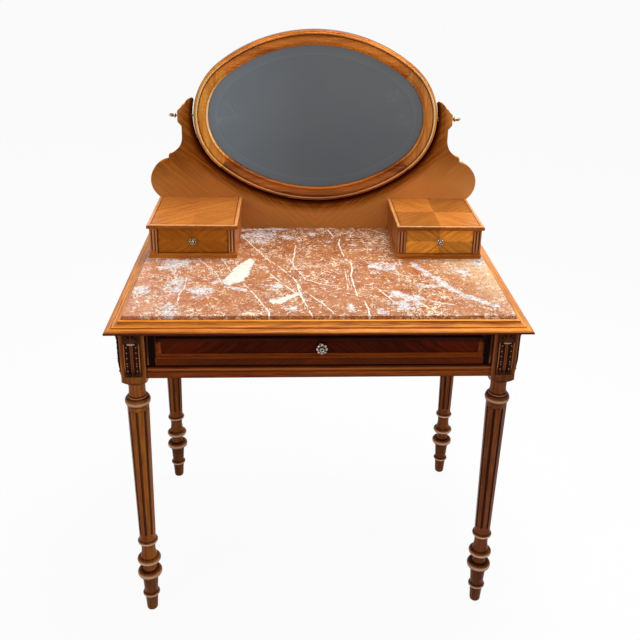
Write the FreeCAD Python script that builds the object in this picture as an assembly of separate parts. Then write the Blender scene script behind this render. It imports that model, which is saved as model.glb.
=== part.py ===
import FreeCAD, Part
import math
import os

# A dressing table in walnut with a marble top, a wide drawer, two small drawer boxes and
# an oval mirror that tilts between the ears of a shaped back board.
# Lengths are millimetres. +Z is up, the front faces -Y, and the origin is on the floor
# under the middle of the whole piece. "depth" along the table is counted from the front
# edge of the top towards the back.

os.makedirs("parts", exist_ok=True)

V = FreeCAD.Vector
UP = V(0, 0, 1)
ACROSS = V(1, 0, 0)
BACKWARD = V(0, 1, 0)

# The whole table
table_height = 762.0
top_width = 860.0
top_depth = 574.0

# Clearances
running_gap = 0.3
screw_clearance = 0.05
overrun = 5.0
same_point = 0.001

# Moulded border of the top and the marble in it
marble_thickness = 20.0
marble_proud = 8.5
marble_arris = 1.2
border_height = 19.0
border_face = 32.0
border_lip = 28.0
border_fillet = 3.7
border_ovolo_width = 11.6
border_ovolo_height = 3.8
border_quirk_width = 1.5
border_quirk_height = 3.0
border_cove_width = 9.7
border_step = 1.2
border_arris = 0.5
rear_rail_lip = 28.0

# Legs: the square block on top
block_side = 50.0
block_inset = 24.0
block_height = 118.5

# Legs: the turned part, from the floor up
foot_low_radius = 12.4
foot_round = 6.5
foot_top_radius = 14.8
foot_height = 44.0
ankle_ring_radius = 19.2
ankle_ring_shoulder = 16.6
ankle_ring_height = 7.5
ankle_cove_height = 9.5
ankle_low_radius = 15.4
ankle_top_radius = 18.0
ankle_height = 39.0
bulb_radius = 27.4
bulb_low_radius = 19.2
bulb_top_radius = 19.0
bulb_height = 17.0
waist_fillet_radius = 15.8
waist_fillet_height = 2.0
waist_radius = 13.6
waist_height = 21.0
disc_radius = 26.3
disc_edge_radius = 21.5
disc_height = 11.0
collar_radius = 18.8
collar_height = 2.0
lower_neck_radius = 16.2
lower_neck_top_radius = 16.8
lower_neck_height = 40.0
bead_radius = 22.3
bead_edge_radius = 19.5
bead_height = 7.5
cove_height = 13.5
shaft_low_radius = 17.8
shaft_top_radius = 22.7
torus_radius = 26.6
torus_height = 19.0
torus_top_radius = 21.5
throat_fillet_radius = 20.0
throat_fillet_height = 3.0
throat_low_radius = 18.4
throat_radius = 17.2
throat_height = 35.0
shoulder_radius = 19.0
shoulder_height = 7.0
shoulder_bulge = 1.4

# Flutes of the shaft
flute_count = 8
flute_half_width = 2.8
flute_depth = 2.6
flute_low_margin = 9.0
flute_top_margin = 12.0

# Carved plaques on the front blocks
plaque_width = 34.0
plaque_top_gap = 3.0
plaque_bottom_gap = 13.0
plaque_thickness = 6.0
plaque_foot_thickness = 2.6
plaque_taper_height = 30.0
plaque_fillet = 3.6
plaque_sink = 2.0
plaque_cup_height = 26.0
plaque_reed_width = 6.0
plaque_reed_height = 1.4
plaque_foot_bar = 4.0

# Apron rails
apron_height = 111.5
apron_thickness = 20.0
apron_inset = 6.0
bottom_rail_height = 26.5
bottom_rail_inset = 4.0
bottom_rail_depth = 24.0
rail_bead_height = 7.0
rail_cove_height = 6.0
rail_bead_depth = 3.5
rail_cove_share = 0.3
top_rail_height = 14.0
top_rail_depth = 40.0

# Wide drawer
drawer_face_inset = 7.0
drawer_front_thickness = 20.0
drawer_front_gap = 1.5
drawer_rear_gap = 53.0
drawer_side_thickness = 12.0
drawer_side_height = 62.0
drawer_back_thickness = 12.0
drawer_bottom_thickness = 6.0
drawer_bottom_lift = 5.0
drawer_groove_depth = 4.0
drawer_tongue_length = 9.0
drawer_tongue_share = 0.78
drawer_tongue_root_share = 0.5
face_mould_width = 10.0
face_mould_height = 5.0
face_mould_margin = 20.5
face_mould_rise_gap = 17.0
face_mould_bead = 4.5
face_mould_step = 1.5

# Runners and guides of the wide drawer
runner_width = 38.0
runner_thickness = 12.0
runner_rise = 6.0
guide_thickness = 11.2
guide_height = 26.0

# Back board: its lower part, with a lobe at each side
board_thickness = 20.0
board_side_inset = 42.0
lobe_inset = 29.0
lobe_centre_rise = 124.5
lobe_radius = 54.5
lobe_step_inset = 21.5
lobe_step_height = 11.5
waist_start_inset = 25.5

# Back board: waist and ear, outward from the mirror's edge and up or down from its pivot
waist_reach = 30.0
waist_flare_reach = 36.0
waist_flare_share = 0.32
waist_top_share = 0.71
ear_reach = 39.2
ear_foot_drop = 25.5
ear_round_reach = 33.6
ear_round_drop = 21.0
ear_side_drop = 14.5
ear_side_rise = 12.0
ear_step_reach = 33.0
ear_step_rise = 17.0
ear_notch_reach = 27.0
ear_notch_rise = 25.5
ear_bead_reach = 22.5
ear_bead_rise = 27.0
ear_crown_reach = 9.5
ear_crown_rise = 41.0
ear_tip_reach = 3.0
ear_tip_rise = 42.5
ear_inner_rise = 36.5

# Battens behind the board
batten_thickness = 14.0
batten_width = 44.0
batten_inset = 36.0
batten_foot_gap = 8.0
batten_top_rise = 196.0
batten_screw_radius = 4.0
batten_screw_shank = 2.0
batten_screw_length = 26.0
batten_screw_margin = 22.0
batten_screw_rows = 3

# Mirror: an oval of four compass arcs
mirror_side_room = 128.0
mirror_height_share = 0.7053
mirror_end_share = 0.7746
mirror_lift = 75.5
mirror_gap = 4.0
frame_thickness = 28.0
frame_proud = 8.0
frame_width = 36.0
frame_outer_drop = 7.0
frame_bead_start = 5.2
frame_bead_end = 10.6
frame_bead_height = 2.2
frame_quirk = 1.6
frame_band_drop = 2.6
frame_inner_bead = 4.6
frame_inner_rise = 1.2
frame_sight_depth = 9.0
rebate_width = 6.0
glass_thickness = 5.0
glass_edge = 3.0
glass_bevel = 29.0
glass_play = 0.5
backboard_thickness = 4.0

# Pivots of the mirror
screw_radius = 3.0
socket_radius = 5.0
socket_length = 14.0
screw_reach = 10.0
bush_radius = 5.5
finial_neck_length = 2.5
finial_neck_radius = 2.0
finial_flare_radius = 6.6
finial_flare_length = 4.5
finial_barrel_radius = 4.2
finial_barrel_length = 7.0
finial_ring_radius = 4.9
finial_ring_length = 2.4
finial_tip_length = 5.0
finial_tip_radius = 1.0

# Small boxes on the marble
box_width = 202.5
box_depth = 214.5
box_edge_inset = 39.0
box_base_thickness = 10.0
box_base_nosing = 2.5
box_height = 82.0
box_plate_thickness = 9.0
box_plate_overhang = 3.0
box_side_inset = 2.0
box_side_thickness = 17.0
box_side_setback = 3.5
box_plate_round = 3.2
box_plate_groove_inset = 8.5
box_plate_groove_width = 1.6
box_plate_groove_depth = 1.0
pilaster_flute_radius = 2.0
pilaster_flute_depth = 1.5
pilaster_flute_shift = 3.6
pilaster_flute_margin = 5.0

# Small drawers
small_front_setback = 8.0
small_front_thickness = 12.0
small_front_gap = 0.8
small_side_thickness = 7.0
small_side_height = 50.0
small_side_play = 1.0
small_rear_gap = 4.5
small_bottom_thickness = 4.0
small_bottom_lift = 2.5
small_groove_depth = 2.5
small_rebate_depth = 7.0

# Knobs
knob_radius = 12.5
knob_length = 20.0
knob_rise_share = 0.52
small_knob_radius = 9.0
small_knob_length = 15.0
knob_base_share = 0.62
knob_stem_share = 0.34
knob_base_length_share = 0.14
knob_stem_length_share = 0.42
knob_rim_share = 0.72
knob_boss_share = 0.3
knob_head_length_share = 0.92
knob_petals = 8
knob_notch_share = 0.13

# Places worked out from the sizes above
overall_depth = top_depth + batten_thickness
front_y = -overall_depth / 2
underside = table_height - marble_proud - border_height
border_top = underside + border_height
marble_bottom = table_height - marble_thickness
leg_x = top_width / 2 - block_inset - block_side / 2
front_leg_depth = block_inset + block_side / 2
rear_leg_depth = top_depth - block_side / 2
block_inner_x = leg_x - block_side / 2
board_front = top_depth - board_thickness
apron_bottom = underside - apron_height
bottom_rail_front = block_inset + bottom_rail_inset
bottom_rail_top = apron_bottom + bottom_rail_height
bottom_rail_back = bottom_rail_front + bottom_rail_depth
drawer_face = block_inset + drawer_face_inset
drawer_face_back = drawer_face + drawer_front_thickness
drawer_front_bottom = bottom_rail_top + drawer_front_gap
drawer_front_top = underside - drawer_front_gap
drawer_front_half = block_inner_x - drawer_front_gap
drawer_half_width = block_inner_x - guide_thickness - running_gap
runner_top = bottom_rail_top + runner_rise
drawer_side_bottom = runner_top + running_gap
drawer_length = board_front - drawer_rear_gap - drawer_face_back
board_half_width = top_width / 2 - board_side_inset
batten_centre_x = block_inner_x - batten_inset
mirror_half_width = top_width / 2 - mirror_side_room
mirror_half_height = mirror_half_width * mirror_height_share
mirror_end_radius = mirror_half_height * mirror_end_share
pivot_height = table_height + mirror_lift + mirror_half_height
ear_x = mirror_half_width + ear_reach
mirror_front = board_front - frame_proud
pivot_depth = board_front + board_thickness / 2
box_outer_x = top_width / 2 - box_edge_inset
box_inner_x = box_outer_x - box_width
box_front = board_front - box_depth
small_length = box_depth - small_front_setback - small_front_thickness - small_rear_gap
box_top = table_height + box_height
box_plate_bottom = box_top - box_plate_thickness
box_floor = table_height + box_base_thickness


def at(x, depth, z):
    """A point at a depth behind the front edge of the top."""
    return V(x, front_y + depth, z)


def block(x_range, depth_range, z_range):
    """A rectangular piece between two values on each axis."""
    low_x, high_x = min(x_range), max(x_range)
    low_d, high_d = depth_range
    low_z, high_z = z_range
    return Part.makeBox(high_x - low_x, high_d - low_d, high_z - low_z, at(low_x, low_d, low_z))


def closed_wire(start, steps):
    """A wire from start through lines (a point) and arcs (a middle point and an end point)."""
    edges = []
    here = start
    for step in steps:
        if isinstance(step, tuple):
            middle, end = step
            edges.append(Part.Arc(here, middle, end).toShape())
        else:
            end = step
            edges.append(Part.makeLine(here, end))
        here = end
    if not here.isEqual(start, same_point):
        edges.append(Part.makeLine(here, start))
    return Part.Wire(edges)


def prism(start, steps, direction):
    """The outline pushed along a direction."""
    return Part.Face(closed_wire(start, steps)).extrude(direction)


def mirrored(shape):
    """The same piece on the other side of the middle."""
    return shape.mirror(V(0, 0, 0), ACROSS)


def export(name, *solids):
    """One node: a single solid, or several alike that stay separate."""
    shape = solids[0] if len(solids) == 1 else Part.makeCompound(list(solids))
    shape.exportStep("parts/" + name + ".step")


def export_pair(name, left_shape):
    """A left piece and its mirror image on the right."""
    export("left_" + name, left_shape)
    export("right_" + name, mirrored(left_shape))


# Legs

def shaft_bottom():
    """Height of the foot of the fluted shaft: the turned members below it, added up."""
    rings = foot_height + ankle_ring_height + ankle_cove_height + ankle_height + bulb_height
    rings += waist_fillet_height + waist_height + disc_height + collar_height
    return rings + lower_neck_height + bead_height + cove_height


def shaft_top():
    """Height of the top of the fluted shaft, under the torus."""
    above = block_height + shoulder_height + throat_height + throat_fillet_height + torus_height
    return underside - above


def lower_members():
    """Outline of the foot, rings and bulb as (radius, height) steps up to the shaft."""
    round_x = foot_low_radius - foot_round
    slant = foot_round * math.sqrt(0.5)
    toe_middle = V(round_x + slant, 0, foot_round - slant)
    steps = [V(round_x, 0, 0), (toe_middle, V(foot_low_radius, 0, foot_round))]
    z = foot_height
    steps.append(V(foot_top_radius, 0, z))
    steps.append(V(ankle_ring_shoulder, 0, z))
    steps.append((V(ankle_ring_radius, 0, z + ankle_ring_height / 2),
                  V(ankle_ring_shoulder, 0, z + ankle_ring_height)))
    z += ankle_ring_height
    curve_share = 0.35
    steps.append((V(ankle_low_radius, 0, z + ankle_cove_height * curve_share),
                  V(ankle_low_radius, 0, z + ankle_cove_height)))
    z += ankle_cove_height + ankle_height
    steps.append(V(ankle_top_radius, 0, z))
    steps.append(V(bulb_low_radius, 0, z))
    steps.append((V(bulb_radius, 0, z + bulb_height / 2), V(bulb_top_radius, 0, z + bulb_height)))
    z += bulb_height
    steps.append(V(waist_fillet_radius, 0, z))
    z += waist_fillet_height
    steps.append(V(waist_fillet_radius, 0, z))
    steps.append((V(waist_radius, 0, z + waist_height / 2), V(waist_fillet_radius, 0, z + waist_height)))
    z += waist_height
    steps.append(V(disc_edge_radius, 0, z))
    steps.append((V(disc_radius, 0, z + disc_height / 2), V(disc_edge_radius, 0, z + disc_height)))
    z += disc_height
    steps.append(V(collar_radius, 0, z))
    z += collar_height
    steps.append(V(collar_radius, 0, z))
    neck_share = 0.3
    steps.append((V(lower_neck_radius, 0, z + lower_neck_height * neck_share),
                  V(lower_neck_top_radius, 0, z + lower_neck_height)))
    z += lower_neck_height
    steps.append(V(bead_edge_radius, 0, z))
    steps.append((V(bead_radius, 0, z + bead_height / 2), V(bead_edge_radius, 0, z + bead_height)))
    z += bead_height
    steps.append((V(shaft_low_radius + (bead_edge_radius - shaft_low_radius) * curve_share, 0,
                    z + cove_height * curve_share),
                  V(shaft_low_radius, 0, z + cove_height)))
    return steps


def upper_members():
    """Outline of the torus, throat and shoulder above the shaft, up to the block."""
    z = shaft_top()
    steps = [V(shaft_top_radius, 0, z)]
    steps.append((V(torus_radius, 0, z + torus_height / 2), V(torus_top_radius, 0, z + torus_height)))
    z += torus_height
    steps.append(V(throat_fillet_radius, 0, z))
    z += throat_fillet_height
    steps.append(V(throat_fillet_radius, 0, z))
    steps.append(V(throat_low_radius, 0, z))
    throat_share = 0.55
    steps.append((V(throat_radius, 0, z + throat_height * throat_share),
                  V(shoulder_radius, 0, z + throat_height)))
    return steps


def block_with_shoulder():
    """The square block, its underside turned to a dome that cuts the corners back."""
    corner = block_side / math.sqrt(2)
    low = underside - block_height - shoulder_height
    high = underside - block_height
    middle = V((shoulder_radius + corner) / 2 + shoulder_bulge, 0, (low + high) / 2 - shoulder_bulge)
    turned = [V(shoulder_radius, 0, low), (middle, V(corner, 0, high))]
    turned += [V(corner, 0, underside), V(0, 0, underside)]
    envelope = Part.Face(closed_wire(V(0, 0, low), turned)).revolve(V(0, 0, 0), UP, 360)
    half = block_side / 2
    square = Part.makeBox(block_side, block_side, underside - low, V(-half, -half, low))
    return square.common(envelope)


def flute_cutter(angle):
    """A round-ended groove that follows the taper of the shaft."""
    low = shaft_bottom()
    high = shaft_top()
    taper = (shaft_top_radius - shaft_low_radius) / (high - low)
    start_z = low + flute_low_margin
    end_z = high - flute_top_margin
    sink = flute_half_width - flute_depth
    start_r = shaft_low_radius + taper * (start_z - low) + sink
    end_r = shaft_low_radius + taper * (end_z - low) + sink
    start = V(0, -start_r, start_z)
    end = V(0, -end_r, end_z)
    along = end - start
    groove = Part.makeCylinder(flute_half_width, along.Length, start, along)
    ends = [Part.makeSphere(flute_half_width, start), Part.makeSphere(flute_half_width, end)]
    groove = groove.fuse(ends)
    groove.rotate(V(0, 0, 0), UP, angle)
    return groove


def leg(flute_phase):
    """One leg on the axis X = Y = 0: turned, fluted, with its block."""
    outline = lower_members() + upper_members() + [V(0, 0, underside - block_height - shoulder_height)]
    turned = Part.Face(closed_wire(V(0, 0, 0), outline)).revolve(V(0, 0, 0), UP, 360)
    flutes = [flute_cutter(flute_phase + 360 * k / flute_count) for k in range(flute_count)]
    return turned.fuse(block_with_shoulder()).cut(flutes).removeSplitter()


def legs():
    """Four legs; those on the right are turned half a flute further."""
    half_pitch = 180 / flute_count
    for side, sign, phase in (("left", -1, 0), ("right", 1, half_pitch)):
        one = leg(phase)
        for place, depth in (("front", front_leg_depth), ("rear", rear_leg_depth)):
            copy = one.copy()
            copy.translate(at(sign * leg_x, depth, 0))
            export(place + "_" + side + "_leg", copy)


def plaque_layer(half_width, thickness, foot_thickness, low, high):
    """A plate on the plane Y = 0 that thins towards its foot."""
    side = [V(-half_width, -thickness, high), V(-half_width, -thickness, low + plaque_taper_height),
            V(-half_width, -foot_thickness, low), V(-half_width, 0, low)]
    return prism(V(-half_width, 0, high), side, V(2 * half_width, 0, 0))


def plaque():
    """A carved plaque: side fillets, a sunk field with a reed, a cup at the top."""
    low = underside - block_height + plaque_bottom_gap
    high = underside - plaque_top_gap
    body = plaque_layer(plaque_width / 2, plaque_thickness, plaque_foot_thickness, low, high)
    field_thickness = plaque_thickness - plaque_sink
    field_foot = plaque_foot_thickness - plaque_sink
    inner_half = plaque_width / 2 - plaque_fillet
    field = plaque_layer(inner_half, field_thickness, field_foot, low, high)
    field_low = low + plaque_foot_bar
    field_high = high - plaque_cup_height
    sunk = Part.makeBox(2 * inner_half, plaque_thickness + overrun, field_high - field_low,
                        V(-inner_half, -plaque_thickness - overrun, field_low))
    body = body.cut(sunk.cut(field))
    reed = plaque_layer(plaque_reed_width / 2, field_thickness + plaque_reed_height,
                        field_foot + plaque_reed_height, low, high)
    return body.fuse(reed).removeSplitter()


def block_plaques():
    """Plaques on the front and the outer side of both front blocks."""
    pieces = []
    for sign in (-1, 1):
        front = plaque()
        front.translate(at(sign * leg_x, block_inset, 0))
        side = plaque()
        side.rotate(V(0, 0, 0), UP, sign * 90)
        side.translate(at(sign * (leg_x + block_side / 2), front_leg_depth, 0))
        pieces += [front, side]
    export("block_plaques", *pieces)


# Aprons and rails

def moulded_apron_outline(face, back, low, high):
    """Section of a rail with a bead, a cove and a flat band along its bottom, as (depth, height)."""
    bead_top = low + bottom_rail_height
    bead_low = bead_top - rail_bead_height
    cove_low = bead_low - rail_cove_height
    set_back = face + rail_bead_depth
    cove_middle = V(0, set_back - rail_bead_depth * rail_cove_share,
                    cove_low + rail_cove_height * rail_cove_share)
    steps = [V(0, face, cove_low), (cove_middle, V(0, set_back, bead_low)),
             (V(0, face, (bead_low + bead_top) / 2), V(0, set_back, bead_top))]
    if high > bead_top:
        steps.append(V(0, set_back, high))
    steps += [V(0, back, high), V(0, back, low)]
    return V(0, face, low), steps


def aprons():
    """The front bottom rail, both side aprons and the back apron."""
    start, steps = moulded_apron_outline(bottom_rail_front, bottom_rail_back,
                                         apron_bottom, bottom_rail_top)
    rail = prism(start, steps, V(2 * block_inner_x, 0, 0))
    rail.translate(at(-block_inner_x, 0, 0))
    export("front_bottom_rail", rail)

    start, steps = moulded_apron_outline(0, apron_thickness, apron_bottom, underside)
    length = rear_leg_depth - front_leg_depth - block_side
    side = prism(start, steps, V(length, 0, 0))
    side.rotate(V(0, 0, 0), UP, -90)
    outer_x = leg_x + block_side / 2 - apron_inset
    side.translate(at(-outer_x, rear_leg_depth - block_side / 2, 0))
    export_pair("side_apron", side)

    back_range = (top_depth - apron_thickness, top_depth)
    back = block((-block_inner_x, block_inner_x), back_range, (apron_bottom, underside))
    export("back_apron", back.cut(batten_screws()))


def front_top_rail():
    """The rail over the drawer opening, behind the drawer front that closes against it."""
    low = drawer_face_back + running_gap
    export("front_top_rail", block((-block_inner_x, block_inner_x), (low, low + top_rail_depth),
                                   (underside - top_rail_height, underside)))


def runners():
    """A ledge under each drawer side with a guide beside it, from the front rail to the back apron."""
    ledge_low = runner_top - runner_thickness
    outer = block_inner_x
    inner = outer - runner_width
    guide_x = outer - guide_thickness
    start = at(-outer, bottom_rail_back, ledge_low)
    steps = [at(-outer, bottom_rail_back, runner_top + guide_height),
             at(-guide_x, bottom_rail_back, runner_top + guide_height),
             at(-guide_x, bottom_rail_back, runner_top),
             at(-inner, bottom_rail_back, runner_top),
             at(-inner, bottom_rail_back, ledge_low)]
    length = top_depth - apron_thickness - bottom_rail_back
    export_pair("drawer_runner", prism(start, steps, V(0, length, 0)))


# The top

def border_section():
    """Section of the moulded border as (depth from the outer edge, height)."""
    low = underside
    ovolo_start = border_step
    ovolo_end = ovolo_start + border_ovolo_width
    ovolo_low = low + border_fillet
    ovolo_top = ovolo_low + border_ovolo_height
    quirk_end = ovolo_end + border_quirk_width
    quirk_top = ovolo_top + border_quirk_height
    cove_end = quirk_end + border_arris + border_cove_width
    cove_top = border_top - border_arris
    ovolo_share = 0.3
    cove_share = 0.68
    steps = [V(0, 0, ovolo_low), V(0, ovolo_start, ovolo_low),
             (V(0, ovolo_start + border_ovolo_width * ovolo_share,
                ovolo_top - border_ovolo_height * ovolo_share),
              V(0, ovolo_end, ovolo_top)),
             V(0, quirk_end, ovolo_top), V(0, quirk_end, quirk_top),
             V(0, quirk_end + border_arris, quirk_top),
             (V(0, quirk_end + border_arris + border_cove_width * cove_share,
                quirk_top + (cove_top - quirk_top) * (1 - cove_share)),
              V(0, cove_end, cove_top)),
             V(0, cove_end + border_arris, border_top), V(0, border_face, border_top),
             V(0, border_face, marble_bottom), V(0, border_face + border_lip, marble_bottom),
             V(0, border_face + border_lip, low)]
    return V(0, 0, low), steps


def plan_piece(points):
    """A tall prism over a plan outline, to cut mitres with."""
    low = underside - overrun
    corners = [at(x, depth, low) for x, depth in points]
    return prism(corners[0], corners[1:], V(0, 0, marble_thickness + border_height))


def top_border():
    """Three moulded members, mitred at the front corners, and the plain rear rail."""
    half = top_width / 2
    inner = border_face + border_lip
    start, steps = border_section()
    front = prism(start, steps, V(top_width, 0, 0))
    front.translate(at(-half, 0, 0))
    front_plan = plan_piece([(-half, 0), (half, 0), (half - inner, inner), (-half + inner, inner)])
    export("top_front_moulding", front.common(front_plan))

    side = prism(start, steps, V(top_depth, 0, 0))
    side.rotate(V(0, 0, 0), UP, -90)
    side.translate(at(-half, top_depth, 0))
    side_plan = [(-half, 0), (-half + inner, inner), (-half + inner, top_depth), (-half, top_depth)]
    side = side.common(plan_piece(side_plan))
    export("top_left_moulding", side)
    export("top_right_moulding", mirrored(side))

    lip_half = half - inner
    face_half = half - border_face
    lower = block((-lip_half, lip_half), (board_front - rear_rail_lip, top_depth),
                  (underside, marble_bottom))
    upper = block((-face_half, face_half), (board_front, top_depth), (marble_bottom, border_top))
    export("top_rear_rail", lower.fuse(upper).removeSplitter())

    panel = block((-lip_half, lip_half), (inner, board_front - rear_rail_lip), (underside, marble_bottom))
    export("top_panel", panel)


def marble_top():
    """The slab in the rebate of the border, its upper edges eased."""
    half = top_width / 2 - border_face
    slab = block((-half, half), (border_face, board_front), (marble_bottom, table_height))
    rim = [e for e in slab.Edges if abs(e.BoundBox.ZMin - table_height) < same_point
           and abs(e.BoundBox.ZMax - table_height) < same_point]
    export("marble_top", slab.makeChamfer(marble_arris, rim))


# The oval: four arcs from two centres on each axis

def large_radius():
    """Radius of the flat arcs at the top and bottom of the oval."""
    a, b, r = mirror_half_width, mirror_half_height, mirror_end_radius
    return (a * a + b * b - 2 * a * r) / (2 * (b - r))


def oval_arcs(offset):
    """Centre, radius, middle direction and half angle of the four arcs, moved inward by offset."""
    small = mirror_end_radius
    large = large_radius()
    end_x = mirror_half_width - small
    flat_z = large - mirror_half_height
    end_half = math.degrees(math.atan2(flat_z, end_x))
    return [(V(end_x, 0, 0), small - offset, 0, end_half),
            (V(0, 0, -flat_z), large - offset, 90, 90 - end_half),
            (V(-end_x, 0, 0), small - offset, 180, end_half),
            (V(0, 0, flat_z), large - offset, 270, 90 - end_half)]


def polar(angle):
    """Unit direction in the mirror's plane."""
    return V(math.cos(math.radians(angle)), 0, math.sin(math.radians(angle)))


def oval_wire(offset, depth):
    """The oval as a closed wire about the pivot axis, at one depth."""
    middle = at(0, depth, pivot_height)
    edges = []
    for centre, radius, direction, half in oval_arcs(offset):
        points = [middle + centre + polar(direction + turn) * radius for turn in (-half, 0, half)]
        edges.append(Part.Arc(*points).toShape())
    return Part.Wire(edges)


def oval_plate(offset, front, thickness):
    """A flat oval plate."""
    return Part.Face(oval_wire(offset, front)).extrude(V(0, thickness, 0))


# Back board

def side_outline():
    """The right edge of the board from its foot to the tip of the ear."""
    def low_point(inset, z):
        return at(board_half_width - inset, board_front, z)

    def ear_point(reach, rise):
        return at(mirror_half_width + reach, board_front, pivot_height + rise)

    lobe_height = table_height + lobe_centre_rise
    lobe_low = lobe_height - math.sqrt(lobe_radius ** 2 - lobe_inset ** 2)
    step_low = lobe_height + math.sqrt(lobe_radius ** 2 - (lobe_inset - lobe_step_inset) ** 2)
    step_high = step_low + lobe_step_height
    waist_length = pivot_height - ear_foot_drop - step_high
    flare_drop = pivot_height - step_high - waist_length * waist_flare_share
    waist_drop = pivot_height - step_high - waist_length * waist_top_share
    return [low_point(0, lobe_low),
            (low_point(lobe_inset - lobe_radius, lobe_height), low_point(lobe_step_inset, step_low)),
            low_point(lobe_step_inset, step_high),
            low_point(waist_start_inset, step_high),
            (ear_point(waist_flare_reach, -flare_drop), ear_point(waist_reach, -waist_drop)),
            ear_point(waist_reach, -ear_foot_drop),
            (ear_point(ear_round_reach, -ear_round_drop), ear_point(ear_reach, -ear_side_drop)),
            ear_point(ear_reach, ear_side_rise),
            ear_point(ear_step_reach, ear_step_rise),
            ear_point(ear_notch_reach, ear_notch_rise),
            ear_point(ear_bead_reach, ear_bead_rise),
            (ear_point(ear_crown_reach, ear_crown_rise), ear_point(ear_tip_reach, ear_tip_rise))]


def mirror_steps(points):
    """The same outline on the left, walked back from the tip to the foot."""
    def flip(p):
        return V(-p.x, p.y, p.z)

    ends = [step[1] if isinstance(step, tuple) else step for step in points]
    middles = [step[0] if isinstance(step, tuple) else None for step in points]
    back = []
    for k in range(len(points) - 1, 0, -1):
        end = flip(ends[k - 1])
        back.append(end if middles[k] is None else (flip(middles[k]), end))
    return back


def back_board():
    """The shaped board on the rear rail, cut out for the mirror and bored for the pivots."""
    right = side_outline()
    tip = right[-1][1]
    inner_x = mirror_half_width + ear_tip_reach - mirror_gap
    inner_z = pivot_height + ear_inner_rise
    between = [at(inner_x, board_front, inner_z), at(-inner_x, board_front, inner_z),
               V(-tip.x, tip.y, tip.z)]
    steps = right + between + mirror_steps(right) + [at(-board_half_width, board_front, border_top)]
    board = prism(at(board_half_width, board_front, border_top), steps, V(0, board_thickness, 0))
    through = (board_front - overrun, top_depth + overrun)
    opening = oval_plate(-mirror_gap, board_front - overrun, board_thickness + 2 * overrun)
    above = block((-inner_x, inner_x), through, (pivot_height, pivot_height + mirror_half_height))
    board = board.cut([opening, above])
    bore_start = at(-ear_x - overrun / 2, pivot_depth, pivot_height)
    bore = Part.makeCylinder(bush_radius, 2 * ear_x + overrun, bore_start, ACROSS)
    export("back_board", board.cut([bore] + batten_screws()))


def batten_heights():
    """The lowest and the highest point of the battens."""
    return apron_bottom + batten_foot_gap, table_height + batten_top_rise


def batten_screws():
    """Countersunk screws through both battens, some into the back apron and some into the board."""
    low, high = batten_heights()
    back = top_depth + batten_thickness
    head_depth = batten_screw_radius - batten_screw_shank
    screws = []
    for base, top in ((low, underside), (border_top, high)):
        first = base + batten_screw_margin
        pitch = (top - batten_screw_margin - first) / (batten_screw_rows - 1)
        for x in (-batten_centre_x, batten_centre_x):
            for k in range(batten_screw_rows):
                start = at(x, back, first + pitch * k)
                head = Part.makeCone(batten_screw_radius, batten_screw_shank, head_depth, start, -BACKWARD)
                shank = Part.makeCylinder(batten_screw_shank, batten_screw_length, start, -BACKWARD)
                screws.append(head.fuse(shank).removeSplitter())
    return screws


def back_battens():
    """Two battens that tie the board to the back apron."""
    inner = batten_centre_x - batten_width / 2
    outer = batten_centre_x + batten_width / 2
    batten = block((-outer, -inner), (top_depth, top_depth + batten_thickness), batten_heights())
    export_pair("back_batten", batten.cut(batten_screws()))
    export("batten_screws", *batten_screws())


# Mirror

def frame_section():
    """Section of the frame as (distance inward from the edge, depth behind the front)."""
    quirk_end = frame_bead_end + frame_quirk
    inner_start = frame_width - frame_inner_bead
    crest = (frame_bead_start + frame_bead_end) / 2
    outer_share = 0.35
    start = (0, frame_thickness)
    slope_drop = frame_bead_height + (frame_outer_drop - frame_bead_height) * outer_share
    steps = [(0, frame_outer_drop),
             ((frame_bead_start * outer_share, slope_drop), (frame_bead_start, frame_bead_height)),
             ((crest, 0), (frame_bead_end, frame_bead_height)),
             (frame_bead_end, frame_band_drop + frame_inner_rise),
             (quirk_end, frame_band_drop + frame_inner_rise),
             (quirk_end, frame_band_drop),
             (inner_start, frame_band_drop),
             (inner_start, frame_band_drop - frame_inner_rise),
             ((frame_width - frame_inner_bead * outer_share, frame_band_drop),
              (frame_width, frame_band_drop + frame_inner_bead)),
             (frame_width, frame_sight_depth),
             (frame_width - rebate_width, frame_sight_depth),
             (frame_width - rebate_width, frame_thickness)]
    return start, steps


def frame_segment(centre, outer_radius, direction, half):
    """One quarter of the frame: the section turned about the centre of its arc."""
    middle = at(0, mirror_front, pivot_height) + centre
    outward = polar(direction - half)

    def place(inward, depth):
        return middle + outward * (outer_radius - inward) + V(0, depth, 0)

    start, steps = frame_section()
    placed = []
    for step in steps:
        if isinstance(step[0], tuple):
            placed.append((place(*step[0]), place(*step[1])))
        else:
            placed.append(place(*step))
    face = Part.Face(closed_wire(place(*start), placed))
    return face.revolve(middle, V(0, -1, 0), 2 * half)


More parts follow.
